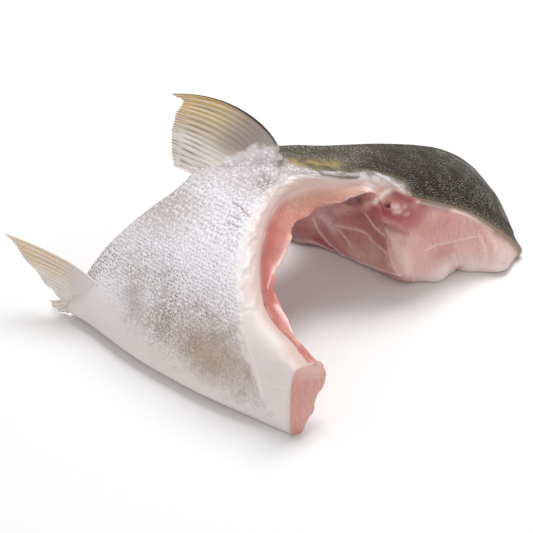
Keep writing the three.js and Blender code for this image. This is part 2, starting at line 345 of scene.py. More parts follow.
def block_shell(steps, coarse, fine_row):
    """The shell of a block of steps: its places from 0 to 1 along each axis, faces and their sides.

    Sides named in coarse get larger cells, the cavity only up to the fine row."""
    counts = [step + 1 for step in steps]
    numbers = np.arange(math.prod(counts)).reshape(counts)
    cavity = numbers[:, :, -1]
    grids = [
        ("skin", numbers[:, :, 0], False, 1),
        ("cavity", cavity[:fine_row + 1], True, coarse),
        ("cavity", cavity[fine_row:], True, 1),
        ("gill", numbers[:, 0, :], True, 1),
        ("rear", numbers[:, -1, :], False, coarse),
        ("throat", numbers[0, :, :], False, 1),
        ("back", numbers[-1, :, :], True, coarse),
    ]
    faces, sides = [], []
    for name, grid, turned, step in grids:
        made = grid_faces(grid, step, turned)
        faces += made
        sides += [SIDES.index(name)] * len(made)
    used = np.unique(np.concatenate(faces))
    renumber = np.zeros(numbers.size, dtype=int)
    renumber[used] = np.arange(len(used))
    faces = [renumber[face].tolist() for face in faces]
    places = np.stack(np.unravel_index(used, counts), axis=-1) / np.array(steps)
    return places, faces, np.array(sides)


part_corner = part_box("collar")[1]
TO_PART = np.array([
    part_corner.x / MM + GILL_EDGE[0][0],
    part_corner.y / MM - REAR_EDGE[-1][1],
    0.0,
])


def make_piece(name, points, faces, materials, traits):
    """A piece of the collar from points in the fish's millimetres, with its traits kept at each point."""
    mesh = bpy.data.meshes.new(name)
    mesh.from_pydata(((points + TO_PART) * MM).tolist(), [], faces)
    for trait, values in traits.items():
        kept = mesh.attributes.new(trait, "FLOAT", "POINT")
        kept.data.foreach_set("value", np.asarray(values, dtype=np.float32))
    for material in materials:
        mesh.materials.append(material)
    mesh.shade_smooth()
    piece = bpy.data.objects.new(name, mesh)
    bpy.context.scene.collection.objects.link(piece)
    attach(piece, "root")
    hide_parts("collar")
    return piece


# Seeded lumps for relief
LUMP_PRIMES = np.array([73856093, 19349663, 83492791])
LUMP_TABLE = 4096


def lumps(points, size, seed):
    """Smooth noise from -1 to 1 with lumps of the given size, the same on every run."""
    table = np.random.default_rng(seed).uniform(-1.0, 1.0, LUMP_TABLE)
    cells = points / size
    corner = np.floor(cells).astype(np.int64)
    fade = smooth(cells - corner)
    total = np.zeros(len(points))
    for step in np.ndindex(2, 2, 2):
        weight = np.prod(np.where(step, fade, 1 - fade), axis=1)
        hashed = np.bitwise_xor.reduce((corner + step) * LUMP_PRIMES, axis=1)
        total += weight * table[hashed % LUMP_TABLE]
    return total


def lumpy(points, layers):
    """Layers of lumps, each as (height, size, seed), one on another."""
    return sum(height * lumps(points, size, seed) for height, size, seed in layers)


# Marks on the collar: how wide each is, how strongly it is tinted, its path as places of (u, t, w), and
# how far it stands out or in, in millimetres. Crisp ones end at a ragged edge, the others fade out.
def mark(tint, width, strength, path, relief=0.0, crisp=False):
    return dict(tint=tint, width=width, strength=strength, path=path, relief=relief, crisp=crisp)


def on_gill(*places):
    """A path over the gill face or the nape cut, by (u, w)."""
    return [(u, 0, w) for u, w in places]


def on_throat(*places):
    """A path over the throat cut, by (t, w)."""
    return [(0, t, w) for t, w in places]


def on_skin(*places):
    """A path over the skin, by (u, t)."""
    return [(u, t, 0) for u, t in places]


def on_cavity(*places):
    """A path over the cavity, by (u, t)."""
    return [(u, t, 1) for u, t in places]


MARKS = [
    # Muscle of the gill face, and its lip
    mark("blush", 3.4, 0.9, on_gill((0.25, 0.42), (0.217, 0.55), (0.19, 0.68), (0.157, 0.65))),
    mark("blush", 4.5, 0.45, on_gill((0.4, 0.35), (0.35, 0.42), (0.3, 0.45), (0.25, 0.42))),
    mark("blush", 3.0, 0.95, on_gill((0.182, 0.72), (0.159, 0.7), (0.14, 0.65))),
    mark("pale", 1.1, 0.7, on_gill((0.58, 0.96), (0.588, 0.99)), 1.4),
    mark("pale", 0.9, 0.7, on_gill((0.6, 0.97), (0.606, 0.99)), 1.2),
    mark("blush", 3.0, 0.45, on_gill((0.42, 0.85), (0.47, 0.88), (0.52, 0.9), (0.57, 0.92))),
    mark("tan", 5.0, 0.6, on_gill((0.49, 0.5), (0.54, 0.5), (0.59, 0.5))),
    mark("pale", 3.2, 0.4, on_gill((0.46, 0.12), (0.52, 0.12), (0.57, 0.12), (0.62, 0.12))),
    mark("pale", 1.8, 0.5, on_gill((0.366, 0.96), (0.33, 0.97), (0.273, 0.96), (0.226, 0.92)), 0.5),
    mark("white", 0.5, 0.45, on_gill((0.311, 0.93), (0.246, 0.94), (0.2, 0.75), (0.178, 0.63)), 0.3),
    mark("blood", 0.9, 0.75, on_gill((0.14, 0.1), (0.117, 0.08), (0.085, 0.08), (0.05, 0.1)), -0.9),
    mark("blush", 2.0, 0.9, on_gill((0.1, 0.35), (0.07, 0.4), (0.04, 0.4), (0.01, 0.4)), -0.4),
    mark("pale", 1.4, 0.8, on_gill((0.144, 0.8), (0.12, 0.87), (0.092, 0.92), (0.052, 0.9)), 0.5),
    mark("blush", 1.3, 0.9, on_skin((0.058, 0.002), (0.034, 0.006), (0.008, 0.004)), crisp=True),
    mark("blush", 3.0, 0.9, on_gill((0.02, 0.5), (0.05, 0.55), (0.08, 0.55))),
    mark("pale", 5.0, 0.4, on_throat((0.05, 0.2), (0.06, 0.5), (0.08, 0.85))),
    mark("blush", 7.0, 0.85, on_gill((0.03, 0.45), (0.1, 0.4), (0.2, 0.4), (0.34, 0.45))),
    mark("white", 3.6, 0.9, on_gill((0.64, 0.02), (0.64, 0.3), (0.64, 0.55))),
    mark("blush", 14.0, 0.4, on_throat((0.4, 0.5), (0.6, 0.5), (0.8, 0.5))),
    # The joint at the head of the back muscle
    mark("shade", 3.0, 0.7, on_gill((0.75, 0.04), (0.78, 0.05), (0.82, 0.05))),
    mark("blood", 5.0, 0.55, on_gill((0.76, 0.25), (0.77, 0.5), (0.76, 0.85))),
    mark("blood", 4.0, 0.7, on_gill((0.707, 0.29), (0.728, 0.4), (0.75, 0.55), (0.745, 0.72))),
    mark("blood", 4.0, 0.95, on_gill((0.69, 0.85), (0.714, 0.74), (0.735, 0.8)), -0.5),
    mark("blood", 3.0, 0.9, on_gill((0.684, 0.09), (0.7, 0.13), (0.718, 0.15))),
    mark("blush", 9.0, 0.75, on_gill((0.7, 0.6), (0.74, 0.6), (0.77, 0.7))),
    mark("pale", 1.7, 0.5, on_gill((0.694, 0.56), (0.703, 0.46)), 1.5),
    mark("pale", 1.5, 0.45, on_gill((0.711, 0.53), (0.703, 0.6)), 1.3),
    mark("pale", 1.3, 0.35, on_gill((0.716, 0.36)), 1.1),
    mark("pale", 1.4, 0.3, on_gill((0.735, 0.56)), 1.0),
    mark("shade", 1.2, 0.75, on_gill((0.686, 0.66)), -2.4),
    mark("blood", 3.5, 0.95, on_cavity((0.68, 0.091), (0.68, 0.05), (0.686, 0.01)), -0.6),
    mark("pale", 1.5, 0.8, [
        (0.668, 0.05, 1), (0.662, 0, 0.9), (0.667, 0, 0.6), (0.671, 0, 0.36), (0.676, 0, 0.08),
    ], 0.9),
    mark("white", 0.7, 0.7, on_gill((0.664, 0.8), (0.667, 0.6), (0.671, 0.36), (0.674, 0.2)), 0.4),
    # The nape cut
    mark("white", 0.45, 0.5, on_gill(
        (0.893, 0.876), (0.896, 0.764), (0.908, 0.664), (0.916, 0.568), (0.918, 0.421), (0.919, 0.293),
    ), -0.2),
    mark("blush", 4.5, 0.55, on_gill((0.932, 0.683), (0.928, 0.761))),
    mark("blush", 8.0, 0.4, on_gill((0.79, 0.8), (0.84, 0.7), (0.86, 0.5))),
    mark("white", 0.7, 0.5, on_gill((0.987, 0.649), (0.97, 0.653), (0.947, 0.653)), -0.3),
    mark("blush", 1.3, 0.6, on_gill((1.0, 0.65), (0.987, 0.649)), -1.8),
    mark("blood", 0.5, 0.5, on_gill((0.985, 0.459))),
    mark("blood", 0.5, 0.5, on_gill((0.988, 0.405))),
    mark("white", 0.8, 0.75, on_gill(
        (0.74, 0.13), (0.794, 0.14), (0.841, 0.13), (0.892, 0.09), (0.93, 0.06),
    )),
    mark("blush", 0.5, 0.45, on_gill(
        (0.917, 0.328), (0.939, 0.398), (0.968, 0.467), (0.992, 0.521),
    ), -0.25),
    mark("white", 0.5, 0.5, on_gill((0.917, 0.25), (0.936, 0.31), (0.962, 0.4), (0.989, 0.48)), 0.2),
    mark("blush", 0.5, 0.4, on_gill((0.917, 0.2), (0.936, 0.27), (0.962, 0.366), (0.989, 0.447)), -0.25),
    mark("white", 0.5, 0.45, on_gill((0.923, 0.131), (0.944, 0.189), (0.96, 0.29), (0.983, 0.398)), 0.2),
    mark("blush", 0.5, 0.35, on_gill(
        (0.935, 0.081), (0.955, 0.112), (0.97, 0.193), (0.979, 0.309),
    ), -0.2),
    mark("white", 6.0, 0.45, on_gill((0.99, 0.85), (0.96, 0.78)), 2.4),
    mark("white", 6.0, 0.35, on_gill((0.99, 0.54), (0.99, 0.48), (0.985, 0.38)), 3.0),
    # The membrane over the back muscle
    mark("pale", 0.8, 0.55, on_cavity((0.911, 0.68), (0.92, 0.601), (0.933, 0.541), (0.948, 0.491)), 0.7),
    mark("pale", 0.8, 0.6, on_cavity(
        (0.912, 0.652), (0.9, 0.56), (0.888, 0.458), (0.887, 0.395), (0.896, 0.317), (0.901, 0.235),
        (0.902, 0.198),
    ), 0.9),
    mark("pale", 0.8, 0.6, on_cavity(
        (0.816, 0.389), (0.836, 0.354), (0.849, 0.308), (0.853, 0.251),
    ), 0.8),
    mark("pale", 0.8, 0.6, on_cavity(
        (0.925, 0.833), (0.95, 0.763), (0.969, 0.687), (0.978, 0.626), (0.99, 0.577),
    ), 0.6),
    mark("blood", 4.0, 0.4, on_cavity((0.872, 0.402), (0.878, 0.326), (0.89, 0.246)), -1.0),
    mark("blood", 4.0, 0.7, on_cavity((0.69, 0.11), (0.72, 0.13), (0.76, 0.2), (0.8, 0.3)), -0.8),
    mark("blood", 3.2, 0.9, on_cavity((0.973, 0.768), (0.978, 0.697), (0.987, 0.63)), -0.5),
    mark("pale", 3.0, 0.4, on_cavity((0.91, 0.763), (0.916, 0.703), (0.927, 0.651)), 0.5),
    mark("white", 0.6, 0.7, on_cavity(
        (0.984, 0.934), (0.98, 0.842), (0.99, 0.7), (0.99, 0.562), (0.99, 0.475), (0.984, 0.367),
        (0.972, 0.228), (0.955, 0.071),
    ), 0.4),
    mark("shade", 4.0, 0.8, on_cavity((0.6, 0.08), (0.64, 0.12), (0.668, 0.16)), -0.8),
    mark("shade", 4.0, 0.6, on_cavity((0.678, 0.215), (0.698, 0.294))),
    mark("shade", 9.0, 0.5, on_cavity((0.975, 0.98), (0.99, 0.94)), 5.0),
    mark("tan", 2.0, 0.8, on_cavity((0.664, 0.03), (0.679, 0.128)), 0.6),
    mark("tan", 2.2, 0.6, on_cavity((0.825, 0.513), (0.86, 0.61), (0.878, 0.666)), 0.4),
    mark("pale", 2.6, 0.5, on_cavity((0.84, 0.17), (0.822, 0.13), (0.82, 0.1)), 0.5),
    mark("pale", 5.0, 0.5, on_cavity(
        (0.86, 0.14), (0.88, 0.1), (0.9, 0.07), (0.923, 0.04), (0.95, 0.02),
    ), 0.5),
    mark("pale", 0.7, 0.6, on_cavity(
        (0.82, 0.2), (0.85, 0.19), (0.87, 0.2), (0.9, 0.15), (0.925, 0.13), (0.95, 0.09),
    ), 0.5),
    mark("blood", 5.0, 0.7, on_cavity((0.8, 0.3), (0.83, 0.4), (0.85, 0.5))),
    mark("pale", 6.0, 0.35, on_cavity((0.93, 0.3), (0.965, 0.32), (0.97, 0.45))),
    mark("blood", 6.0, 0.6, on_cavity((0.86, 0.66), (0.92, 0.7), (0.96, 0.72))),
    # Fine creases at the throat with painted highlights along them, and a painted highlight by the pelvic fin
    mark("painted_highlight", 0.5, 0.55, on_skin((0.145, 0.192), (0.14, 0.136), (0.137, 0.077)), -0.5),
    mark("painted_highlight", 0.4, 0.45, on_skin((0.069, 0.356), (0.053, 0.279), (0.035, 0.197)), -0.4),
    mark("painted_highlight", 0.4, 0.35, on_skin((0.05, 0.486), (0.029, 0.428), (0.008, 0.354)), -0.3),
    mark("painted_highlight", 0.5, 0.5, on_skin((0.103, 0.23), (0.075, 0.331), (0.054, 0.453), (0.039, 0.629)), 0.2),
    mark("painted_highlight", 11.0, 0.6, on_skin((0.346, 0.741), (0.313, 0.721), (0.287, 0.681))),
    # Swellings and tags along the inner edge of the throat
    mark("pale", 12.0, 0.2, on_cavity((0.0, 0.35), (0.0, 0.6)), 2.0),
    mark("blush", 7.0, 0.2, on_cavity((0.0, 0.7), (0.0, 0.82)), 1.6),
    mark("blush", 1.6, 0.7, on_cavity((0.004, 0.1), (0.004, 0.16)), 1.0),
    mark("blush", 1.4, 0.6, on_cavity((0.004, 0.3), (0.003, 0.36)), 0.8),
    mark("blush", 1.2, 0.6, on_cavity((0.002, 0.62), (0.002, 0.7)), 0.7),
    # Creases painted dark as shade in them, painted shade in hollows of the lower flank and at the pectoral
    # fin's leading edge, the olive stripe, and painted highlights on the skin
    mark("crease", 0.45, 0.85, on_skin((0.396, 0.195), (0.372, 0.125), (0.34, 0.072)), -0.6),
    mark("crease", 0.5, 0.6, on_skin((0.355, 0.159), (0.333, 0.105)), -0.4),
    mark("crease", 0.5, 0.6, on_skin((0.335, 0.164), (0.315, 0.108)), -0.4),
    mark("crease", 0.8, 0.9, on_skin((0.616, 0.34), (0.564, 0.095), (0.593, 0.05), (0.622, 0.05)), -0.5),
    mark("crease", 2.2, 0.8, on_skin((0.622, 0.547), (0.6, 0.49))),
    mark("crease", 6.0, 0.3, on_skin((0.3, 0.68), (0.285, 0.7)), -0.6),
    mark("crease", 5.0, 0.15, on_skin((0.285, 0.49))),
    mark("olive", 5.0, 1.0, on_skin((0.632, 0.48), (0.655, 0.44), (0.668, 0.38))),
    mark("painted_highlight", 4.0, 0.6, on_skin((0.605, 0.2), (0.618, 0.16), (0.632, 0.14))),
    mark("painted_highlight", 3.0, 0.7, on_skin((0.637, 0.09), (0.66, 0.1), (0.685, 0.1)), 0.4),
]
TINTS = ("blush", "blood", "pale", "white", "shade", "tan", "crease", "painted_highlight", "olive")
MARK_STEP = 0.8  # millimetres between the points that a path is read at
CRISP_EDGE = 0.5  # width of a crisp mark's edge
CRISP_LUMPS = [(0.7, 2.2, 21)]  # how that edge wanders, as (height, size, seed)
MARK_REACH = 2.5  # widths of a mark past which it has faded out


def mark_line(path):
    """A mark's path as closely set points on the collar."""
    places = np.array(path, dtype=float)
    knots = collar_point(*places.T)[0]
    if len(places) == 1:
        return knots
    lengths = np.linalg.norm(np.diff(knots, axis=0), axis=1)
    reached = np.concatenate([[0.0], np.cumsum(lengths)])
    steps = np.arange(0.0, reached[-1] + MARK_STEP, MARK_STEP)
    return collar_point(*(np.interp(steps, reached, column) for column in places.T))[0]


def mark_shares(points, place, drawn):
    """How fully each point lies in a mark, from 0 to 1, on the faces that its path runs over."""
    line = mark_line(drawn["path"])
    path_u, path_t, path_w = np.array(drawn["path"], dtype=float).T
    u, t, w = place.T
    on_face = (w == 0) & np.any(path_w == 0) | (w == 1) & np.any(path_w == 1)
    on_face |= (t == 0) & np.any(path_t == 0) | (u == 0) & np.any(path_u == 0)
    shares = np.zeros(len(points))
    reach = MARK_REACH * drawn["width"]
    near = np.all((points > line.min(axis=0) - reach) & (points < line.max(axis=0) + reach), axis=1)
    near &= on_face
    close = points[near]
    gap = np.full(len(close), np.inf)
    for spot in line:
        gap = np.minimum(gap, np.linalg.norm(close - spot, axis=1))
    if drawn["crisp"]:
        past = gap - lumpy(close, CRISP_LUMPS) - drawn["width"]
        shares[near] = ramp(past, CRISP_EDGE / 2, -CRISP_EDGE / 2)
    else:
        shares[near] = bell(gap, 0.0, drawn["width"])
    return shares


# Borders between the kinds of skin
DARK_BORDER = [(48, 124), (56, 118), (61, 112.5), (65, 106), (70, 100.5), (74, 97.5), (84, 92.5), (112, 88)]
RIM_WIDTH = [9, 9, 9.5, 8.2, 7, 5.7, 4.7, 4.5, 6.5, 11.5, 12, 9, 3]  # at even steps along the gill edge
THROAT_SKIN = (15.9, 11.1, 1.31)  # how far behind at how many degrees, and how much more for each degree
THROAT_SKIN_TOP = 28.0  # degrees that this border reaches up to
BELLY_SKIN = (3.5, 0.085)  # degrees at the throat, and how many more for each millimetre behind
PELVIC_SKIN = (100.0, 0.06)  # behind at which bare skin widens to the pelvic fin, and degrees for each mm
DEGREE = 1.15  # millimetres round the section for each degree


def skin_traits(u, behind, degrees, gap):
    """How far inside the scaled skin, off the belly and inside the dark back each point lies, in mm."""
    from_rim = gap - along(RIM_WIDTH, u / NAPE_START)
    throat_behind, throat_degrees, throat_slope = THROAT_SKIN
    low = np.minimum(degrees, THROAT_SKIN_TOP)
    from_throat = behind - (throat_behind + (low - throat_degrees) * throat_slope)
    belly_degrees, belly_slope = BELLY_SKIN
    fin_behind, fin_slope = PELVIC_SKIN
    near_fin = fin_slope * np.maximum(behind - fin_behind, 0.0)
    from_belly = (degrees - belly_degrees - belly_slope * behind - near_fin) * DEGREE
    border_behind, border_degrees = np.array(DARK_BORDER).T
    dark = (degrees - np.interp(behind, border_behind, border_degrees)) * DEGREE
    return np.minimum(from_rim, from_throat), from_belly, dark


ARC_BEHIND = np.linspace(0.0, 150.0, 31)
ARC_ANGLES = np.linspace(0.0, np.pi, 181)
PAST_CELL = 1.001  # keeps a place inside the last cell of the table


def arc_length(behind, angle):
    """Millimetres round the section from the belly line."""
    sections = [bare_skin(np.full_like(ARC_ANGLES, at), ARC_ANGLES) for at in ARC_BEHIND]
    steps = np.linalg.norm(np.diff(np.array(sections), axis=1), axis=2)
    lengths = np.pad(np.cumsum(steps, axis=1), ((0, 0), (1, 0)))
    row = np.clip(behind / ARC_BEHIND[1], 0, len(ARC_BEHIND) - PAST_CELL)
    column = np.clip(angle / ARC_ANGLES[1], 0, len(ARC_ANGLES) - PAST_CELL)
    i, j = row.astype(int), column.astype(int)
    near = mix(lengths[i, j], lengths[i, j + 1], column - j)
    far = mix(lengths[i + 1, j], lengths[i + 1, j + 1], column - j)
    return mix(near, far, row - i)


# Node building
def paint(code):
    """A linear colour from its usual six digits."""
    parts = [int(code[k:k + 2], 16) / 255 for k in (1, 3, 5)]
    linear = [c / 12.92 if c <= 0.04045 else ((c + 0.055) / 1.055) ** 2.4 for c in parts]
    return (*linear, 1.0)


MIX_SHARE, MIX_FIRST, MIX_SECOND = 0, 6, 7  # sockets of a mix of colours
MIXED = 2


class Brush:
    """Adds nodes to one tree and joins them."""

    def __init__(self, tree):
        self.tree = tree

    def feed(self, socket, value):
        if isinstance(value, bpy.types.NodeSocket):
            self.tree.links.new(value, socket)
        else:
            socket.default_value = value

    def node(self, kind, feeds=(), **settings):
        made = self.tree.nodes.new(kind)
        for name, value in settings.items():
            setattr(made, name, value)
        for socket, value in dict(feeds).items():
            self.feed(made.inputs[socket], value)
        return made

    def trait(self, name):
        return self.node("ShaderNodeAttribute", attribute_name=name).outputs["Fac"]

    def place(self):
        """The place on the object, in millimetres."""
        at = self.node("ShaderNodeTexCoord").outputs["Object"]
        return self.stretch(at, (1 / MM,) * 3)

    def stretch(self, vector, scale):
        made = self.node("ShaderNodeVectorMath", {0: vector, 1: scale}, operation="MULTIPLY")
        return made.outputs[0]

    def join(self, x, y, z=0.0):
        return self.node("ShaderNodeCombineXYZ", {0: x, 1: y, 2: z}).outputs[0]

    def math(self, operation, a, b=0.0, c=0.0):
        made = self.node("ShaderNodeMath", {0: a, 1: b, 2: c}, operation=operation)
        return made.outputs[0]

    def rise(self, value, low, high):
        """0 below the low value and 1 above the high one, smooth between."""
        made = self.node(
            "ShaderNodeMapRange", {"Value": value, "From Min": low, "From Max": high},
            interpolation_type="SMOOTHSTEP",
        )
        return made.outputs[0]

    def scaled(self, value, low, high):
        """A value from 0 to 1 carried to another range."""
        return self.math("MULTIPLY_ADD", value, high - low, low)

    def blend(self, share, a, b):
        made = self.node("ShaderNodeMix", data_type="RGBA")
        self.feed(made.inputs[MIX_SHARE], share)
        self.feed(made.inputs[MIX_FIRST], a)
        self.feed(made.inputs[MIX_SECOND], b)
        return made.outputs[MIXED]

    def product(self, first, *others):
        for other in others:
            first = self.math("MULTIPLY", first, other)
        return first

    def tint(self, colour, code, *shares):
        """A colour with a paint laid over it, by the product of the shares."""
        return self.blend(self.product(*shares), colour, paint(code))

    def noise(self, vector, size, detail=2.0, roughness=0.5):
        made = self.node(
            "ShaderNodeTexNoise",
            {"Vector": vector, "Scale": 1 / size, "Detail": detail, "Roughness": roughness},
        )
        return made.outputs["Fac"]

    def bump(self, height, strength, distance, normal=None):
        made = self.node("ShaderNodeBump", {"Strength": strength, "Distance": distance, "Height": height})
        if normal is not None:
            self.feed(made.inputs["Normal"], normal)
        return made.outputs[0]

    def group(self, tree, **feeds):
        made = self.node("ShaderNodeGroup", node_tree=tree)
        for name, value in feeds.items():
            self.feed(made.inputs[name.replace("_", " ").capitalize()], value)
        return made.outputs


def new_group(name, inputs, outputs):
    """A node group with the given sockets, its brush, its inputs and its output node."""
    tree = bpy.data.node_groups.new(name, "ShaderNodeTree")
    for socket, kind in inputs.items():
        tree.interface.new_socket(socket, in_out="INPUT", socket_type="NodeSocket" + kind)
    for socket, kind in outputs.items():
        tree.interface.new_socket(socket, in_out="OUTPUT", socket_type="NodeSocket" + kind)
    brush = Brush(tree)
    return tree, brush, brush.node("NodeGroupInput").outputs, brush.node("NodeGroupOutput").inputs


# Parts of a scale, as the two distances from its middle between which each comes in, in scales
SCALE_DISH = (0.05, 0.6)
SCALE_DOT = (0.36, 0.1)
SCALE_GAP = (0.3, 0.62)
SCALE_SCATTER = 0.65  # how far the scales stand out of their rows

# Millimetres across the patches and ripples of the wet film and the mottling of muscle
FILM_PATCHES = 7.0
FILM_RIPPLES = 1.6
MUSCLE_MOTTLES = 9.0
WET_NOISE = (0.35, 0.68)  # values of the noises between which gloss and streaks come in
STREAK_NOISE = (0.3, 0.7)


def scale_rows_group():
    """Small scales in rows: the dish of each, the dot at its middle, the gap round it and its shade."""
    tree, brush, given, out = new_group(
        "scale rows", {"Across": "Float", "Round": "Float", "Width": "Float", "Length": "Float"},
        {"Dish": "Float", "Dot": "Float", "Gap": "Float", "Shade": "Float"},
    )
    a = brush.math("DIVIDE", given["Across"], given["Width"])
    b = brush.math("DIVIDE", given["Round"], given["Length"])
    cells = brush.node(
        "ShaderNodeTexVoronoi", {"Vector": brush.join(a, b), "Scale": 1.0, "Randomness": SCALE_SCATTER},
        voronoi_dimensions="2D",
    )
    distance = cells.outputs["Distance"]
    brush.feed(out["Dish"], brush.rise(distance, *SCALE_DISH))
    brush.feed(out["Dot"], brush.rise(distance, *SCALE_DOT))
    brush.feed(out["Gap"], brush.rise(distance, *SCALE_GAP))
    shade = brush.node("ShaderNodeSeparateColor", {"Color": cells.outputs["Color"]}).outputs[0]
    brush.feed(out["Shade"], shade)
    return tree


def wet_film_group():
    """A wet film: gloss that comes and goes, and the fine ripple under it."""
    tree, brush, given, out = new_group(
        "wet film", {"Place": "Vector"}, {"Gloss": "Float", "Ripple": "Float"},
    )
    patches = brush.noise(given["Place"], FILM_PATCHES, detail=3.0)
    brush.feed(out["Gloss"], brush.rise(patches, *WET_NOISE))
    brush.feed(out["Ripple"], brush.noise(given["Place"], FILM_RIPPLES, detail=3.0, roughness=0.55))
    return tree


def muscle_fibre_group():
    """Fine streaks of muscle along the stretched axis, and soft mottling."""
    tree, brush, given, out = new_group(
        "muscle fibre", {"Fibre": "Vector", "Place": "Vector"}, {"Streak": "Float", "Mottle": "Float"},
    )
    streak = brush.noise(given["Fibre"], 1.0, detail=3.0, roughness=0.6)
    brush.feed(out["Streak"], brush.rise(streak, *STREAK_NOISE))
    brush.feed(out["Mottle"], brush.noise(given["Place"], MUSCLE_MOTTLES, detail=3.0, roughness=0.55))
    return tree


scale_rows = scale_rows_group()
wet_film = wet_film_group()
muscle_fibre = muscle_fibre_group()


def new_material(name, **fixed):
    """A material with its brush and shader, and the values that are the same all over it."""
    material = bpy.data.materials.new(name)
    material.use_nodes = True
    shader = material.node_tree.nodes["Principled BSDF"]
    for socket, value in fixed.items():
        shader.inputs[socket.replace("_", " ")].default_value = value
    return material, Brush(material.node_tree), shader.inputs


def tinted(brush, colour, paints):
    """A colour with the marks' tints laid over it in turn."""
    for tint, code in paints.items():
        colour = brush.tint(colour, code, brush.trait(tint))
    return colour


# Zones of the skin, as the two values between which each comes in: degrees round from the belly line
LOW_FLANK = (36.0, 20.0)
MIDDLE_FLANK_HIGHLIGHT = (16.0, 38.0)
LONG_SCALES = (30.0, 52.0)
FAINT_PITS = (56.0, 74.0)
UPPER_FLANK_SHADE = (60.0, 82.0)
REAR_SHADE_DEGREES = ((30.0, 48.0), (64.0, 54.0))
HIGHLIGHT_DEGREES = ((34.0, 24.0), (9.0, 14.0))
TORN_RIM = (20.0, 32.0)
BACK_SHEEN = (50.0, 30.0)  # after the slope has been added for each millimetre behind
BACK_SHEEN_SLOPE = -1.2
# The same in millimetres behind the throat
OFF_THROAT = (28.0, 72.0)
REAR_SHADE_BEHIND = (78.0, 112.0)
PALE_BEHIND = (84.0, 100.0)
HIGHLIGHT_BEHIND = (96.0, 114.0)
# The same in millimetres inside a border that noise makes ragged
SCALES_FROM_RIM = (-1.5, 4.0)
SCALES_FROM_BELLY = (-5.0, 6.0)
GLOSS_FROM_RIM = (-2.0, 4.0)
DARK_FROM_BORDER = (-0.5, 5.0)
HIGHLIGHT_TICKS_FROM_BORDER = (3.0, 9.0)

# Scales as (width, length), and the marks' tints on the skin and on the flesh
SCALE_SIZES = dict(dots=(1.5, 1.6), dashes=(1.4, 2.5), glints=(1.0, 1.15), ticks=(1.1, 2.1))
# On the skin, creases are painted dark as shade, and the bright tint is a painted highlight
SKIN_TINTS = dict(painted_highlight="#f4eff0", crease="#6f5346", blush="#c9716a")
FLESH_TINTS = dict(
    blush="#ba665e", blood="#984348", tan="#c99a83", pale="#efd9d2", white="#f4ebe6", shade="#5e2f2c",
)

# Noises of the skin: millimetres across their lumps, and how far they move a border
RAGGED_LUMPS = 3.0
PATCHES = 16.0
FLECKS = 6.0
STAINS = 11.0
OLIVE_PATCHES = 4.0
TEARS = 2.2
TEAR_STRETCH = (1.0, 1.0, 0.45)
RAGGED_SCALES = 9.0
RAGGED_BACK = 5.0
GLINT_SHADES = (0.55, 0.85)  # shades of the scales that glint on the skin, and on the root of a fin
ROOT_GLINT_SHADES = (0.5, 0.8)
GLINT_GAP = (0.7, 0.2)

# Roughness where each is dry and where it is wet, and the coat of the skin on and off the dark back
SKIN_ROUGHNESS = (0.56, 0.34)
FLESH_ROUGHNESS = (0.55, 0.38)
MEMBRANE_ROUGHNESS = (0.4, 0.24)
FIN_ROUGHNESS = (0.45, 0.3)
SKIN_COAT = (0.05, 0.3)

# Bumps as how strong they are and how deep, in metres
SKIN_RIPPLE = (0.35, 0.0005)
FLESH_RIPPLE = (0.35, 0.0006)
SCALE_DISHES = (0.75, 0.0005)
FLESH_FIBRES = (0.25, 0.0002)
MEMBRANE_FIBRES = (0.3, 0.0003)
FIN_RAYS = (0.3, 0.0004)


def glint_scales(brush, rows, shades):
    """The middles of those scales whose shade is high, where glints are painted."""
    return brush.product(brush.rise(rows["Shade"], *shades), brush.rise(rows["Gap"], *GLINT_GAP))


def skin_patterns(brush):
    """What the kinds of skin share: their places, rows of scales, wet film and noises."""
    place = brush.place()
    behind, arc, degrees = brush.trait("behind"), brush.trait("arc"), brush.trait("degrees")
    rows = {
        name: brush.group(scale_rows, across=behind, round=arc, width=width, length=length)
        for name, (width, length) in SCALE_SIZES.items()
    }
    return SimpleNamespace(
        place=place, behind=behind, degrees=degrees, rim=brush.trait("rim"),
        film=brush.group(wet_film, place=place),
        ragged=brush.math("SUBTRACT", brush.noise(place, RAGGED_LUMPS, detail=3.0), 0.5),
        patch=brush.noise(place, PATCHES, detail=3.0),
        fleck=brush.rise(brush.noise(place, FLECKS, detail=3.0), 0.36, 0.62),
        off_throat=brush.rise(behind, *OFF_THROAT),
        high=brush.rise(degrees, *LONG_SCALES),
        **rows,
    )


def flank_patch(brush, at, behind, degrees):
    """A patch of the flank that comes in over some millimetres behind, between two rises by degrees."""
    return brush.product(brush.rise(at.behind, *behind), *(brush.rise(at.degrees, *side) for side in degrees))


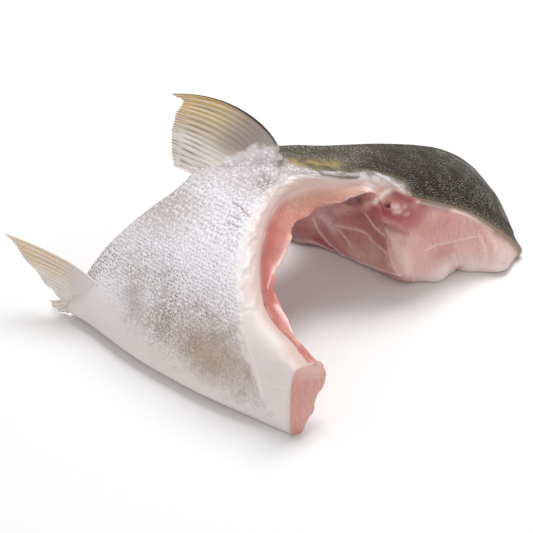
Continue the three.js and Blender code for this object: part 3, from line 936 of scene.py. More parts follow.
def silver_skin(brush, at):
    """Silver scales: the tones of the flank, some of them painted highlight and shade, then painted glints
    and the dark pits of single scales.
    """
    low = brush.rise(at.degrees, *LOW_FLANK)
    brown = brush.trait("brown")
    rear = flank_patch(brush, at, REAR_SHADE_BEHIND, REAR_SHADE_DEGREES)
    highlight_patch = flank_patch(brush, at, HIGHLIGHT_BEHIND, HIGHLIGHT_DEGREES)
    # Painted shade: the upper flank under the pectoral fin is darker, less so further behind
    shaded_upper = brush.blend(at.fleck, paint("#988b8b"), paint("#c0b6b7"))
    shaded_upper = brush.tint(shaded_upper, "#d3cbcd", brush.rise(at.behind, *PALE_BEHIND))
    silver = brush.blend(at.patch, paint("#d1c8c9"), paint("#e1dbdf"))
    # Painted highlight: the middle of the flank is lighter
    silver = brush.tint(silver, "#e9e5eb", brush.rise(at.degrees, *MIDDLE_FLANK_HIGHLIGHT))
    silver = brush.blend(brush.rise(at.degrees, *UPPER_FLANK_SHADE), silver, shaded_upper)
    # Painted shade: darker towards the rear, halfway up the flank, where the scales also have fewer pits
    silver = brush.tint(silver, "#c6bdbb", rear)
    silver = brush.tint(silver, "#d3cbcd", brush.trait("fin_base"), 0.8)
    silver = brush.tint(silver, "#bda693", brown)
    stain = brush.rise(brush.noise(at.place, STAINS), 0.45, 0.62)
    silver = brush.tint(silver, "#ad9a8c", low, stain, 0.55)
    # Painted highlight: a bright patch low on the flank near the rear
    silver = brush.tint(silver, "#efecef", highlight_patch, 0.75)
    # Painted glints on single scales
    glint = brush.product(
        glint_scales(brush, at.glints, GLINT_SHADES),
        brush.scaled(at.off_throat, 0.15, 1.0), brush.scaled(brown, 1.0, 0.0), brush.scaled(low, 0.6, 0.85),
    )
    silver = brush.tint(silver, "#fdfbfd", glint)
    pit = brush.product(
        brush.blend(at.high, at.dots["Dot"], at.dashes["Dot"]), brush.rise(at.dots["Shade"], 0.95, 0.7),
        brush.scaled(low, 0.65, 1.15), brush.scaled(brush.rise(at.degrees, *FAINT_PITS), 1.0, 0.55),
        brush.scaled(at.off_throat, 0.3, 1.0), brush.scaled(highlight_patch, 1.0, 1.7), brush.scaled(brown, 1.0, 0.35),
        brush.scaled(rear, 1.0, 0.4), brush.scaled(at.fleck, 0.4, 1.0),
    )
    return brush.tint(silver, "#85746b", pit)


def scaleless_skin(brush, at):
    """Bare skin along the gill edge and the belly, torn and folded towards the edge, with painted highlight
    and shade on the folds.
    """
    bare = brush.blend(at.patch, paint("#e6dad8"), paint("#dccfcd"))
    bare = brush.tint(bare, "#e2d7d3", at.rim)
    tears = brush.noise(brush.stretch(at.place, TEAR_STRETCH), TEARS, detail=4.0, roughness=0.65)
    torn = brush.product(brush.rise(tears, 0.52, 0.66), brush.rise(at.degrees, *TORN_RIM), at.off_throat)
    bare = brush.tint(bare, "#f7f2f2", torn, 0.7)
    fold = brush.trait("fold")
    # The folds: painted highlight on their ridges and painted shade in their hollows
    bare = brush.tint(bare, "#f3edeb", brush.rise(fold, 0.05, 0.5), 0.85)
    bare = brush.tint(bare, "#cdb6b0", brush.rise(fold, -0.05, -0.5), 0.5)
    return brush.tint(bare, "#d6bcb4", brush.rise(at.rim, 0.75, 0.97))


def dark_skin(brush, at, inside):
    """The dark back, paler at its borders: its colour with a painted sheen, and the painted highlights of
    bright ticks on its scales.
    """
    sheen = brush.rise(brush.math("MULTIPLY_ADD", at.behind, BACK_SHEEN_SLOPE, at.degrees), *BACK_SHEEN)
    back = brush.blend(at.patch, paint("#241a0c"), paint("#342a17"))
    # Painted highlight: a sheen over part of the back
    back = brush.tint(back, "#5d5648", sheen, 0.6)
    back = brush.tint(back, "#6a5f4c", brush.rise(inside, *reversed(HIGHLIGHT_TICKS_FROM_BORDER)))
    at_nape = brush.rise(brush.math("MULTIPLY_ADD", at.ragged, 0.25, at.rim), 0.8, 1.08)
    back = brush.tint(back, "#7b6e58", at_nape, 0.6)
    # Painted highlights: bright ticks on the scales, stronger in the sheen
    highlight_tick = brush.product(
        at.ticks["Dot"], brush.scaled(at.fleck, 0.1, 0.9), brush.rise(inside, *HIGHLIGHT_TICKS_FROM_BORDER),
        brush.scaled(sheen, 0.6, 1.3),
    )
    return brush.tint(back, "#a2a19c", highlight_tick), highlight_tick


def skin_material():
    material, brush, shader = new_material("silver skin", Coat_Roughness=0.25, Specular_IOR_Level=0.14)
    at = skin_patterns(brush)
    inside = brush.math("MULTIPLY_ADD", at.ragged, RAGGED_SCALES, brush.trait("scaled"))
    off_belly = brush.math("MULTIPLY_ADD", at.ragged, RAGGED_SCALES, brush.trait("off_belly"))
    inside_dark = brush.math("MULTIPLY_ADD", at.ragged, RAGGED_BACK, brush.trait("dark"))
    scaled = brush.product(brush.rise(inside, *SCALES_FROM_RIM), brush.rise(off_belly, *SCALES_FROM_BELLY))
    dark = brush.rise(inside_dark, *DARK_FROM_BORDER)

    colour = brush.blend(scaled, scaleless_skin(brush, at), silver_skin(brush, at))
    colour = tinted(brush, colour, SKIN_TINTS)
    back, highlight_tick = dark_skin(brush, at, inside_dark)
    colour = brush.blend(dark, colour, back)
    olive_patch = brush.rise(brush.noise(at.place, OLIVE_PATCHES, detail=3.0), 0.3, 0.6)
    colour = brush.tint(colour, "#a38d58", brush.trait("olive"), olive_patch)
    brush.feed(shader["Base Color"], colour)

    gloss = brush.product(at.film["Gloss"], brush.rise(inside, *GLOSS_FROM_RIM))
    brush.feed(shader["Roughness"], brush.scaled(gloss, *SKIN_ROUGHNESS))
    coated = brush.math("MAXIMUM", highlight_tick, brush.rise(dark, 1.0, 0.0))
    brush.feed(shader["Coat Weight"], brush.scaled(coated, *SKIN_COAT))
    dish = brush.blend(at.high, at.dots["Dish"], at.dashes["Dish"])
    dish = brush.product(dish, brush.math("MAXIMUM", scaled, dark))
    brush.feed(shader["Normal"], brush.bump(dish, *SCALE_DISHES, brush.bump(at.film["Ripple"], *SKIN_RIPPLE)))
    return material


FLESH_FIBRE = (0.9, 1.1, 0.22)  # stretch of the noise that draws the fibres of the cut flesh
MEMBRANE_FIBRE = (0.25, 0.8, 0.5)  # the same on the membrane
FLESH_SPECKS = 1.1
FLAKE_MIDDLE = (0.0, 62.0, -6.0)  # middle of the rings of flakes on the rear cut
FLAKE_WIDTH = 8.5
FLAKE_BEND = 7.0  # how far noise bends the rings, as an angle
FLAKE_BENDS = 20.0  # millimetres across a bend
ACROSS_FISH = (0.0, 1.0, 1.0)


def flake_seams(brush, place):
    """Thin pale seams between the flakes of muscle, in bent rings across the fish."""
    section = brush.stretch(place, ACROSS_FISH)
    middle = brush.node("ShaderNodeVectorMath", {0: section, 1: FLAKE_MIDDLE}, operation="DISTANCE")
    bent = brush.math("MULTIPLY", brush.noise(place, FLAKE_BENDS), FLAKE_BEND)
    rings = brush.math("MULTIPLY_ADD", middle.outputs["Value"], 2 * math.pi / FLAKE_WIDTH, bent)
    return brush.rise(brush.math("SINE", rings), 0.8, 1.0)


def flesh_material():
    material, brush, shader = new_material(
        "cut flesh", Subsurface_Weight=0.2, Subsurface_Radius=(1.0, 0.4, 0.3), Subsurface_Scale=0.003,
        Coat_Weight=0.1, Coat_Roughness=0.25, Specular_IOR_Level=0.4,
    )
    place = brush.place()
    film = brush.group(wet_film, place=place)
    fibre = brush.group(muscle_fibre, fibre=brush.stretch(place, FLESH_FIBRE), place=place)
    depth, rear = brush.trait("depth"), brush.trait("rear")
    gill = brush.blend(fibre["Mottle"], paint("#d09282"), paint("#bf7c6b"))
    gill = brush.tint(gill, "#dcae9e", brush.rise(depth, 0.4, 0.05))
    nape = brush.blend(fibre["Mottle"], paint("#d6a59b"), paint("#c48c82"))
    nape = brush.tint(nape, "#d6b8b1", brush.trait("tip"))
    colour = brush.blend(brush.trait("nape"), gill, nape)
    colour = brush.tint(colour, "#f3dcd8", fibre["Streak"], 0.25)
    colour = brush.tint(colour, "#f4e6e1", brush.rise(brush.noise(place, FLESH_SPECKS), 0.6, 0.75), 0.3)
    colour = brush.tint(colour, "#f1e2dd", flake_seams(brush, place), rear, 0.35)
    colour = brush.tint(colour, "#eaddd8", brush.rise(depth, 0.14, 0.03), rear)
    colour = tinted(brush, colour, FLESH_TINTS)
    colour = brush.tint(colour, "#d6bcb4", brush.trait("lip_edge"))
    colour = brush.tint(colour, "#dfb3ac", brush.trait("flap"), 0.5)
    colour = brush.tint(colour, "#8d7b66", brush.trait("skin_side"))
    brush.feed(shader["Base Color"], colour)
    brush.feed(shader["Roughness"], brush.scaled(film["Gloss"], *FLESH_ROUGHNESS))
    fine = brush.bump(film["Ripple"], *FLESH_RIPPLE)
    brush.feed(shader["Normal"], brush.bump(fibre["Streak"], *FLESH_FIBRES, fine))
    return material


def membrane_material():
    material, brush, shader = new_material(
        "cavity membrane", Coat_Weight=0.35, Coat_Roughness=0.18, Specular_IOR_Level=0.5,
    )
    place = brush.place()
    film = brush.group(wet_film, place=place)
    fibre = brush.group(muscle_fibre, fibre=brush.stretch(place, MEMBRANE_FIBRE), place=place)
    colour = brush.blend(fibre["Mottle"], paint("#bd7e78"), paint("#a46360"))
    colour = brush.tint(colour, "#d3a6a0", fibre["Streak"], 0.3)
    colour = brush.tint(colour, "#dfb3ac", brush.trait("flap"), 0.75)
    colour = tinted(brush, colour, FLESH_TINTS)
    brush.feed(shader["Base Color"], colour)
    brush.feed(shader["Roughness"], brush.scaled(film["Gloss"], *MEMBRANE_ROUGHNESS))
    fine = brush.bump(film["Ripple"], *FLESH_RIPPLE)
    brush.feed(shader["Normal"], brush.bump(fibre["Streak"], *MEMBRANE_FIBRES, fine))
    return material


STREAKS = 70.0  # streaks across a fin
STREAK_BREAKS = 2.5  # how often each breaks along it
DARK_EDGE_WIDTH = (0.014, 0.034)  # share across the fin, at the tip and at the base
LOBE_SCALES = dict(width=1.5, length=1.7)
LOBE_LEAST = 0.02  # share of the fin that its scaled root covers at the ends of the base
LOBE_LUMPS = 4.0  # millimetres across the lumps of its ragged border
LOBE_RAGGED = 0.16  # how far they move it, as a share of the fin
LOBE_BORDER = (0.035, -0.035)  # shares past that border between which the scales come in
LOBE_PALE = (0.05, 0.0)  # the same for its pale line
ROOT_FADE = (0.04, 0.34)  # shares of a bare fin's length over which its rays and colour come in


def scaled_root(brush, colour, lobe, place, out):
    """A fin's colour with scaled skin over its root, up to a ragged pale border, and its bump's height."""
    across, ray = brush.trait("across"), brush.trait("ray")
    across_mm, out_mm = brush.trait("across_mm"), brush.trait("out_mm")
    rows = brush.group(scale_rows, across=across_mm, round=out_mm, **LOBE_SCALES)
    ragged = brush.math("SUBTRACT", brush.noise(place, LOBE_LUMPS, detail=3.0), 0.5)
    bulge = brush.math("SINE", brush.math("MULTIPLY", across, math.pi))
    limit = brush.math("MULTIPLY_ADD", bulge, lobe, LOBE_LEAST)
    past = brush.math("SUBTRACT", brush.math("MULTIPLY_ADD", ragged, LOBE_RAGGED, out), limit)
    on_lobe = brush.rise(past, *LOBE_BORDER)
    scaly = brush.tint(paint("#d3cbcd"), "#93827d", rows["Dot"], 0.3)
    # Painted glints on some of the root's scales
    scaly = brush.tint(scaly, "#fbf9fb", glint_scales(brush, rows, ROOT_GLINT_SHADES), 0.8)
    colour = brush.blend(on_lobe, colour, scaly)
    colour = brush.tint(colour, "#f1ecec", brush.rise(brush.math("ABSOLUTE", past), *LOBE_PALE), 0.4)
    return colour, brush.blend(on_lobe, ray, rows["Dish"])


def fin_material(name, lobe, yellow, dark_edge, tones):
    """A fin: rays with membrane between, yellow towards the first ray's tip, and skin over its root.

    The lobe is the share of the fin that scaled skin covers, and the tones are those of the membrane at
    the first ray and at the last, of the rays and of the grooves between them."""
    material, brush, shader = new_material(
        name, Coat_Weight=0.15, Coat_Roughness=0.25, Specular_IOR_Level=0.45,
    )
    place = brush.place()
    film = brush.group(wet_film, place=place)
    across, out, ray = brush.trait("across"), brush.trait("out"), brush.trait("ray")
    web, pale_web, ray_tone, groove_tone = tones
    along_streak = brush.math("MULTIPLY", out, STREAK_BREAKS)
    streak_place = brush.join(brush.math("MULTIPLY", across, STREAKS), along_streak)
    streak = brush.noise(streak_place, 1.0, detail=3.0)
    colour = brush.blend(brush.rise(across, 0.2, 0.8), paint(web), paint(pale_web))
    colour = brush.tint(colour, groove_tone, brush.rise(streak, 0.45, 0.75), 0.6)
    toward_tip = brush.product(brush.rise(out, 0.2, 0.6), brush.rise(across, 0.62, 0.15))
    colour = brush.tint(colour, "#d9b46c", toward_tip, brush.rise(streak, 0.7, 0.4), yellow)
    grey = brush.product(brush.rise(out, 0.55, 0.15), brush.rise(across, 0.75, 0.3))
    colour = brush.tint(colour, "#978980", grey, dark_edge)
    crest = brush.scaled(brush.rise(out, 0.15, 0.7), 0.05, 0.6)
    colour = brush.tint(colour, ray_tone, brush.rise(ray, 0.6, 1.0), crest)
    worn = brush.product(brush.rise(streak, 0.25, 0.6), brush.rise(out, 0.1, 0.7))
    colour = brush.tint(colour, groove_tone, brush.rise(ray, 0.35, 0.0), worn, 0.7)
    edge_width = brush.scaled(brush.rise(out, 0.8, 0.1), *DARK_EDGE_WIDTH)
    edge = brush.rise(brush.math("DIVIDE", across, edge_width), 1.0, 0.5)
    colour = brush.tint(colour, "#1f1e1d", edge, brush.rise(out, 0.98, 0.75), dark_edge)
    if lobe > 0:
        colour, height = scaled_root(brush, colour, lobe, place, out)
    else:
        free = brush.rise(out, *ROOT_FADE)
        colour = brush.blend(free, paint("#d8cccb"), colour)
        height = brush.product(ray, free)
    brush.feed(shader["Base Color"], colour)
    brush.feed(shader["Roughness"], brush.scaled(film["Gloss"], *FIN_ROUGHNESS))
    brush.feed(shader["Normal"], brush.bump(height, *FIN_RAYS))
    return material


# The body: one closed shell of skin, cut faces and cavity
BODY_STEPS = (360, 128, 44)
BODY_COARSE = 4
FINE_ROW = 216  # row from which the cavity shows
MATERIAL_OF_SIDE = dict(skin=0, gill=1, throat=1, rear=1, back=1, cavity=2)
EDGE_CROWDING = 1.2  # how much closer the columns stand at the gill edge
ROW_CROWDING = 1.2  # how many more rows the joint takes
ROW_CROWD = (0.715, 0.06)  # where along the gill edge the joint is, and how far it spreads
ROW_STEPS = 2000
BELLY_SWELL = 2.5  # how far the belly stands out over its rounded foot
FOOT_HEIGHT = 7.0  # how far up the rounded foot starts
FOOT_TURNS = dict(belly=8.0, throat=1.5, nape=5.0, cavity=5.0, back=2.5)  # how far each side turns under
FOOT_POWER = 4  # how closely a foot of the back muscle keeps to its own side
BELLY_FOOT = (0.0, 40.0)  # millimetres behind the throat over which the belly's foot comes in
EDGE_STEPS = (0.012, 0.06)  # short steps from an edge, along the wall and through it
LEAST_LENGTH = 1e-9
LIP_ROUNDING = (2.0, 7.0)  # reach of the rounding along the lip, and down the nape
RIM_ROUNDING = (6.0, 1.5)  # the same at the skin

# Lumps of the body as (height, size, seed), and heights of its relief
SKIN_LUMPS = [(0.35, 22.0, 1), (0.12, 7.0, 2)]
SCALE_EDGE_LUMPS = [(2.5, 3.5, 3)]
GILL_LUMPS = [(0.35, 6.0, 4), (0.15, 2.5, 5)]
CAVITY_LUMPS = [(0.8, 12.0, 6), (0.3, 5.0, 7)]
LIP_LUMPS = [(0.6, 5.0, 8), (0.4, 2.5, 9)]
FLAP_LUMPS = [(0.05, 5.0, 14), (0.03, 2.0, 15)]
FOLD_LUMPS = [(1.0, 1.0, 16)]
SCALE_HEIGHT = 0.3
FLAP_HEIGHT = 0.4
FOLD_HEIGHT = 0.55
FOLD_WIDTH = 1.9  # millimetres across a fold of the bare rim
FOLD_COUNT = 90.0  # folds along the gill edge
FOLD_SLANT = 30.0

# Zones of the body, as the two values between which each comes in: shares of u, t or w
SKIN_ROWS = (0.0, 0.02)
FACE_FROM_SKIN = (0.0, 0.12)
FACE_FROM_LIP = (1.0, 0.88)
CAVITY_FROM_LIP = (0.0, 0.05)
LIP_IN_WALL = (0.8, 1.0)
LIP_ON_CAVITY = (0.04, 0.0)
LIP_ROWS = (0.68, 0.63)
FOLD_ROWS = (LIP_END, LIP_END - 0.03)
NAPE_ROWS = (LIP_END, NAPE_START)
TIP_ROWS = (0.9, 0.99)
REAR_ROWS = (CORNER_ROW, CORNER_ROW + 0.02)
SKIN_SIDE_IN_WALL = (0.13, 0.03)
SKIN_SIDE_ROWS = (0.72, 0.77)
LIP_EDGE_IN_WALL = (0.12, 0.02)
LIP_EDGE_ROWS = (0.15, 0.21)
FLAP_IN_WALL = (0.8, 0.95)
FLAP_ON_CAVITY = (0.22, 0.17)
FLAP_ROWS = ((0.8, 0.84), (0.97, 0.94))
FLAP_CUT_TORN = 2  # how many times further the flap's edge wanders on the cut than on the cavity
# The same in millimetres or degrees
SKIN_FROM_EDGE = (0.0, 3.0)
RIM_FROM_EDGE = (14.0, 0.0)
SCALE_EDGE = (-0.8, 0.8)
BARE_RIM = (0.0, -2.0)
FOLD_DEGREES = (26.0, 38.0)
BROWN_STRENGTH = 0.9
BROWN_BEHIND = (46.0, 29.0)  # middle and spread of the brown patch, behind the throat
BROWN_DEGREES = (14.5, 8.5)  # the same, round from the belly line


def crowded_rows(share):
    """Rows set closer at the joint."""
    steps = np.linspace(0.0, 1.0, ROW_STEPS + 1)
    density = 1 + ROW_CROWDING * bell(steps, *ROW_CROWD)
    reached = np.concatenate([[0.0], np.cumsum((density[1:] + density[:-1]) / 2)])
    return np.interp(share, reached / reached[-1], steps)


def turned_under(points, place, behind, angle):
    """The collar with its lowest edges turned under, so that it meets the table on a rounded foot."""
    t, w = place[:, 1], place[:, 2]
    low = np.clip(1 - points[:, 2] / FOOT_HEIGHT, 0.0, 1.0)
    hug = 1 - np.sqrt(1 - low ** 2)
    belly = angle < np.pi / 2
    settled = ramp(behind, *BELLY_FOOT)
    belly_turn = mix(FOOT_TURNS["throat"], FOOT_TURNS["belly"], settled)
    swell = BELLY_SWELL * settled * bell(points[:, 2], FOOT_HEIGHT, FOOT_HEIGHT)
    moved = points.copy()
    moved[:, 1] += np.where(belly, (belly_turn * hug - swell) * (1 - w), 0.0)
    moved[:, 0] -= np.where(belly, 0.0, FOOT_TURNS["nape"] * (1 - t) ** FOOT_POWER) * hug
    moved[:, 1] += np.where(belly, 0.0, FOOT_TURNS["cavity"] * w ** FOOT_POWER) * hug
    moved[:, 1] -= np.where(belly, 0.0, FOOT_TURNS["back"] * (1 - w) ** FOOT_POWER) * hug
    return moved


def unit(vectors):
    return vectors / np.maximum(np.linalg.norm(vectors, axis=1), LEAST_LENGTH)[:, None]


def softened_edge(points, u, edge_w, reach):
    """The collar with the edge between its gill or nape face and the skin or cavity rounded off.

    The edge moves in as far as makes its two sides meet without a crease."""
    step_t, step_w = EDGE_STEPS
    at_edge = np.full_like(u, edge_w)
    edge = collar_point(u, np.zeros_like(u), at_edge)[0]
    along_wall = unit(collar_point(u, np.full_like(u, step_t), at_edge)[0] - edge)
    through_wall = unit(collar_point(u, np.zeros_like(u), np.abs(at_edge - step_w))[0] - edge)
    inside = unit(along_wall + through_wall)
    slope = np.sum(along_wall * inside, axis=1)
    gap = np.linalg.norm(points - edge, axis=1)
    pull = slope * reach / 2 * np.clip(1 - gap / reach, 0.0, 1.0) ** 2
    return points + inside * pull[:, None]


def body_traits(points, place, behind, angle, gap):
    """What the body's materials and relief read at each of its points."""
    u, t, w = place.T
    degrees = np.degrees(angle)
    on_cut = t == 0
    traits = dict(behind=behind, arc=arc_length(behind, angle), degrees=degrees)
    traits["scaled"], traits["off_belly"], traits["dark"] = skin_traits(u, behind, degrees, gap)
    traits["rim"] = ramp(gap, *RIM_FROM_EDGE)
    traits["fin_base"] = fin_lobe(points, PECTORAL) / PECTORAL["lobe"][0]
    bare_rim = ramp(traits["scaled"], *BARE_RIM) * ramp(degrees, *FOLD_DEGREES) * ramp(u, *FOLD_ROWS)
    fold_place = np.column_stack([gap / FOLD_WIDTH + FOLD_SLANT * u, FOLD_COUNT * u, np.zeros_like(u)])
    traits["fold"] = bare_rim * lumpy(fold_place, FOLD_LUMPS)
    traits["brown"] = BROWN_STRENGTH * bell(behind, *BROWN_BEHIND) * bell(degrees, *BROWN_DEGREES)
    nape = ramp(u, *NAPE_ROWS)
    traits["nape"] = nape
    traits["skin_side"] = on_cut * ramp(w, *SKIN_SIDE_IN_WALL) * ramp(u, *SKIN_SIDE_ROWS)
    traits["tip"] = ramp(u, *TIP_ROWS)
    traits["depth"] = np.where(u == 0, 1.0, w)
    traits["rear"] = (t == 1) * ramp(u, *REAR_ROWS)
    traits["lip_edge"] = on_cut * ramp(w, *LIP_EDGE_IN_WALL) * ramp(u, *LIP_EDGE_ROWS) * (1 - nape)
    torn = lumpy(points, FLAP_LUMPS)
    flap_on_cut = ramp(w + FLAP_CUT_TORN * torn, *FLAP_IN_WALL)
    flap = np.where(on_cut, flap_on_cut, ramp(t - torn, *FLAP_ON_CAVITY))
    traits["flap"] = nape * flap * ramp(u, *FLAP_ROWS[0]) * ramp(u, *FLAP_ROWS[1])
    return traits


def body_relief(points, place, gap, traits):
    """How far each point of the body is moved out of the plain form, fading out at the edges."""
    u, t, w = place.T
    scale_edge = ramp(traits["scaled"] + lumpy(points, SCALE_EDGE_LUMPS), *SCALE_EDGE)
    skin = (w == 0) * ramp(gap, *SKIN_FROM_EDGE) * ramp(u, *SKIN_ROWS)
    relief = skin * (lumpy(points, SKIN_LUMPS) + SCALE_HEIGHT * scale_edge + FOLD_HEIGHT * traits["fold"])
    gill = (t == 0) * ramp(w, *FACE_FROM_SKIN) * ramp(w, *FACE_FROM_LIP)
    relief += gill * lumpy(points, GILL_LUMPS)
    cavity = (w == 1) * ramp(t, *CAVITY_FROM_LIP)
    relief += cavity * (lumpy(points, CAVITY_LUMPS) + FLAP_HEIGHT * traits["flap"])
    lip = ramp(w, *LIP_IN_WALL) * ramp(t, *LIP_ON_CAVITY) * ramp(u, *LIP_ROWS)
    relief += lip * lumpy(points, LIP_LUMPS)
    return relief


def lay_marks(points, place, traits):
    """Adds the marks' tints to the traits, and gives how far the marks stand out or in."""
    relief = np.zeros(len(points))
    for tint in TINTS:
        traits[tint] = np.zeros(len(points))
    for drawn in MARKS:
        shares = mark_shares(points, place, drawn)
        relief += drawn["relief"] * shares
        tint = drawn["tint"]
        traits[tint] = np.maximum(traits[tint], drawn["strength"] * shares)
    return relief


def collar_body():
    place, faces, sides = block_shell(BODY_STEPS, BODY_COARSE, FINE_ROW)
    place[:, 0] = crowded_rows(place[:, 0])
    place[:, 1] **= EDGE_CROWDING
    u, t, w = place.T
    points, behind, angle, gap = collar_point(u, t, w)
    traits = body_traits(points, place, behind, angle, gap)
    relief = body_relief(points, place, gap, traits) + lay_marks(points, place, traits)

    materials = [skin_material(), flesh_material(), membrane_material()]
    points = softened_edge(points, u, 1.0, mix(*LIP_ROUNDING, traits["nape"]))
    points = softened_edge(points, u, 0.0, mix(*RIM_ROUNDING, traits["nape"]))
    points = turned_under(points, place, behind, angle)
    body = make_piece("collar_body", points, faces, materials, traits)
    mesh = body.data
    normals = np.zeros(len(points) * 3)
    mesh.vertex_normals.foreach_get("vector", normals)
    moved = points + normals.reshape(-1, 3) * relief[:, None]
    moved[:, 2] = np.where(points[:, 2] <= 0, 0.0, np.maximum(moved[:, 2], 0.0))
    mesh.vertices.foreach_set("co", ((moved + TO_PART) * MM).astype(np.float32).ravel())
    material_of = np.array([MATERIAL_OF_SIDE[name] for name in SIDES])
    mesh.polygons.foreach_set("material_index", material_of[sides].astype(np.int32))
    mesh.update()


# Fins: thin closed sheets with raised rays
FIN_SKIN = 0.45  # thickness of the membrane between two rays
RAY_HEIGHT = 0.3  # how much thicker a ray is than that, near its root
RAY_RISES = (0.0, 0.3)  # shares of the fin's length over which its rays rise out of the root
RAY_BRANCHES = (0.7, 0.95)  # the same where each ray parts in two
FIN_THINS = (0.5, 1.0)  # the same where the fin thins towards its margin
MARGIN_THICKNESS = 0.25
MARGIN_LUMP = 1.3  # size of the margin's ragged lumps, in rays
MARGIN_FROM = (0.0, 0.1)  # shares across the fin over which the margin turns ragged behind the tip
NOTCH_IN = (0.0, 0.12)  # the same where it runs in
NOTCH_OUT = (0.12, 0.62)  # the same where it comes out again
FIN_FRINGE = 0.02  # how far the margin runs in between two branches of the rays
FIN_LAYERS = 2


def fin_margin(fin, s, rays, ragged, seed):
    """The share of its full length that a fin reaches, at each share across it."""
    flat = np.column_stack([s * rays, np.zeros_like(s), np.zeros_like(s)])
    fringe = FIN_FRINGE * np.cos(2 * np.pi * rays * s) ** 2
    notch = fin["notch"] * ramp(s, *NOTCH_IN) * (1 - ramp(s, *NOTCH_OUT))
    uneven = ragged * from_zero(lumps(flat, MARGIN_LUMP, seed)) + fringe
    return 1 - notch - uneven * ramp(s, *MARGIN_FROM)


def fin_ray(fin, s):
    """The way from the base to the margin at each share across, by way of the three given rays."""
    first, middle, last = (np.array([-behind, rise, out]) for behind, rise, out in fin["rays"])
    ray = ((1 - s) * (1 - 2 * s))[:, None] * first + (4 * s * (1 - s))[:, None] * middle
    return ray + (s * (2 * s - 1))[:, None] * last


def fin_ridges(s, out, rays):
    """How far up on a ray each place lies, from 0 in a groove to 1. Each ray parts in two near the margin."""
    single = from_zero(np.cos(2 * np.pi * rays * s))
    double = from_zero(np.cos(4 * np.pi * rays * s))
    return mix(single, double, ramp(out, *RAY_BRANCHES))


def fin_thickness(fin, s, out, ridge):
    swell = np.sin(np.pi * mix(FIN_END, 1 - FIN_END, s))
    fleshy = (fin["root"] - FIN_SKIN) * swell * bell(out, 0.0, FIN_ROOT)
    raised = RAY_HEIGHT * ridge * ramp(out, *RAY_RISES)
    thin = mix(FIN_SKIN + raised, MARGIN_THICKNESS, ramp(out, *FIN_THINS))
    return thin + fleshy


def fin_sheet(name, fin, steps, rays, ragged, seed, material):
    """A fin from its root under the skin to its margin, by shares across from the first ray and out."""
    place, faces, _ = block_shell((*steps, FIN_LAYERS), 1, 0)
    s, j, layer = place.T
    base = np.array(fin["base"], dtype=float)

    def base_point(share):
        return bare_skin(mix(base[0, 0], base[1, 0], share), np.radians(mix(base[0, 1], base[1, 1], share)))

    ends = base_point(np.array([0.0, 1.0]))
    normal = np.cross(ends[1] - ends[0], fin_ray(fin, np.array([0.5]))[0])
    normal /= np.linalg.norm(normal)
    r = mix(-FIN_SUNK, fin_margin(fin, s, rays, ragged, seed), j)
    out = np.maximum(r, 0.0)
    ray = fin_ray(fin, s)
    ridge = fin_ridges(s, out, rays)
    waving = fin["wave"] * out * np.sin(2 * np.pi * FIN_WAVES * s)
    side = 1 - 2 * layer
    points = base_point(s) + ray * r[:, None]
    points += normal * (waving + side * fin_thickness(fin, s, out, ridge) / 2)[:, None]
    arched = fin["arch"] * (1 - s) ** ARCH_FADE * np.sqrt(out) * (1 - out)
    points[:, 2] += arched
    points[:, 2] = np.maximum(points[:, 2], 0.0)
    traits = dict(
        across=s, out=r, ray=ridge,
        across_mm=s * np.linalg.norm(ends[1] - ends[0]),
        out_mm=np.hypot(r * np.linalg.norm(ray, axis=1), arched),
    )
    make_piece(name, points, faces, [material], traits)


PECTORAL_TONES = ("#c9b597", "#e6dfda", "#f0e8dd", "#7d6449")
PELVIC_TONES = ("#e0d2ca", "#e6dcd9", "#f4eeeb", "#b8a190")

collar_body()
fin_sheet(
    "pectoral_fin", PECTORAL, steps=(264, 80), rays=15, ragged=0.035, seed=11,
    material=fin_material("pectoral fin", lobe=0.05, yellow=0.9, dark_edge=1.0, tones=PECTORAL_TONES),
)
fin_sheet(
    "pelvic_fin", PELVIC, steps=(168, 60), rays=14, ragged=0.02, seed=12,
    material=fin_material("pelvic fin", lobe=0.0, yellow=0.8, dark_edge=0.2, tones=PELVIC_TONES),
)
fin_sheet(
    "pelvic_stub", STUB, steps=(60, 30), rays=5, ragged=0.03, seed=13,
    material=fin_material("pelvic stub", lobe=0.0, yellow=0.2, dark_edge=0.0, tones=PELVIC_TONES),
)


# The studio: a pale floor, soft light and the camera
CAMERA_AZIMUTH = 44.4
CAMERA_HEIGHT = 30.0
CAMERA_DISTANCE = 0.9
CAMERA_TARGET = Vector((0.00925, -0.04002, 0.025))
FOCAL_PIXELS = 2000
IMAGE_PIXELS = 533
SENSOR = 36.0
FLOOR_SPAN = 3.0
FLOOR_DROP = 0.0003
KEY_LIGHT = dict(direction=Vector((-0.14, 0.4, 0.95)), distance=1.2, width=0.5, length=1.1, power=12.0)
FRONT_LIGHT = dict(direction=Vector((0.7, -0.6, 0.28)), distance=1.3, width=0.9, length=0.5, power=4.0)
AIR_COLOUR = (1.0, 1.0, 1.0, 1.0)
AIR_STRENGTH = 0.48
FLOOR_CLOUDS = 400.0


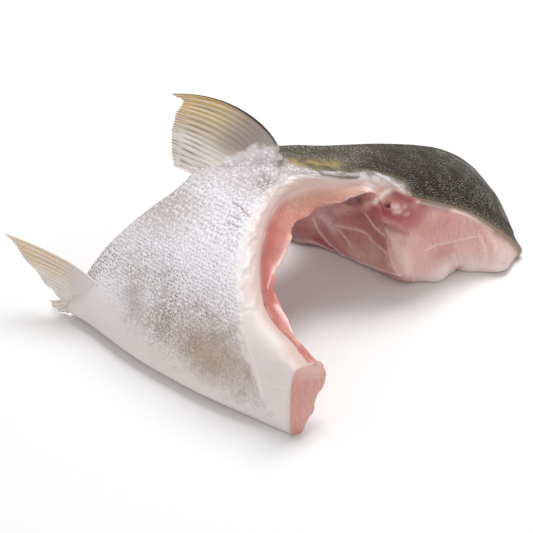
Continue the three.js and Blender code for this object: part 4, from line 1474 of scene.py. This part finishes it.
def studio_floor():
    corners = [(-1, -1), (1, -1), (1, 1), (-1, 1)]
    mesh = bpy.data.meshes.new("studio_floor")
    mesh.from_pydata([(x * FLOOR_SPAN, y * FLOOR_SPAN, -FLOOR_DROP) for x, y in corners], [], [(0, 1, 2, 3)])
    material, brush, shader = new_material("pale floor", Roughness=0.7, Specular_IOR_Level=0.2)
    cloud = brush.noise(brush.place(), FLOOR_CLOUDS)
    brush.feed(shader["Base Color"], brush.blend(cloud, paint("#f0f0f0"), paint("#f2f2f2")))
    mesh.materials.append(material)
    floor = bpy.data.objects.new("studio_floor", mesh)
    bpy.context.scene.collection.objects.link(floor)


def soft_box(name, direction, distance, width, length, power):
    """A soft box that faces the camera's target, its width along the x axis."""
    light = bpy.data.lights.new(name, "AREA")
    light.shape = "RECTANGLE"
    light.size = width
    light.size_y = length
    light.energy = power
    facing = direction.normalized()
    across = (Vector((1, 0, 0)) - facing * facing.x).normalized()
    lamp = bpy.data.objects.new(name, light)
    turn = Matrix((across, facing.cross(across), facing)).transposed().to_4x4()
    lamp.matrix_world = Matrix.Translation(CAMERA_TARGET + facing * distance) @ turn
    bpy.context.scene.collection.objects.link(lamp)


def studio_camera():
    azimuth, height = math.radians(CAMERA_AZIMUTH), math.radians(CAMERA_HEIGHT)
    right = Vector((math.cos(azimuth), math.sin(azimuth), 0))
    back = Vector((
        math.sin(azimuth) * math.cos(height), -math.cos(azimuth) * math.cos(height), math.sin(height),
    ))
    data = bpy.data.cameras.new("studio_camera")
    data.sensor_width = SENSOR
    data.lens = FOCAL_PIXELS * SENSOR / IMAGE_PIXELS
    camera = bpy.data.objects.new("studio_camera", data)
    turn = Matrix((right, back.cross(right), back)).transposed().to_4x4()
    camera.matrix_world = Matrix.Translation(CAMERA_TARGET + back * CAMERA_DISTANCE) @ turn
    bpy.context.scene.collection.objects.link(camera)
    bpy.context.scene.camera = camera


def studio_air():
    world = bpy.data.worlds.new("studio_air")
    world.use_nodes = True
    background = world.node_tree.nodes["Background"].inputs
    background["Color"].default_value = AIR_COLOUR
    background["Strength"].default_value = AIR_STRENGTH
    bpy.context.scene.world = world


studio_floor()
soft_box("key_light", **KEY_LIGHT)
soft_box("front_light", **FRONT_LIGHT)
studio_camera()
studio_air()
bpy.context.scene.view_settings.view_transform = "Standard"
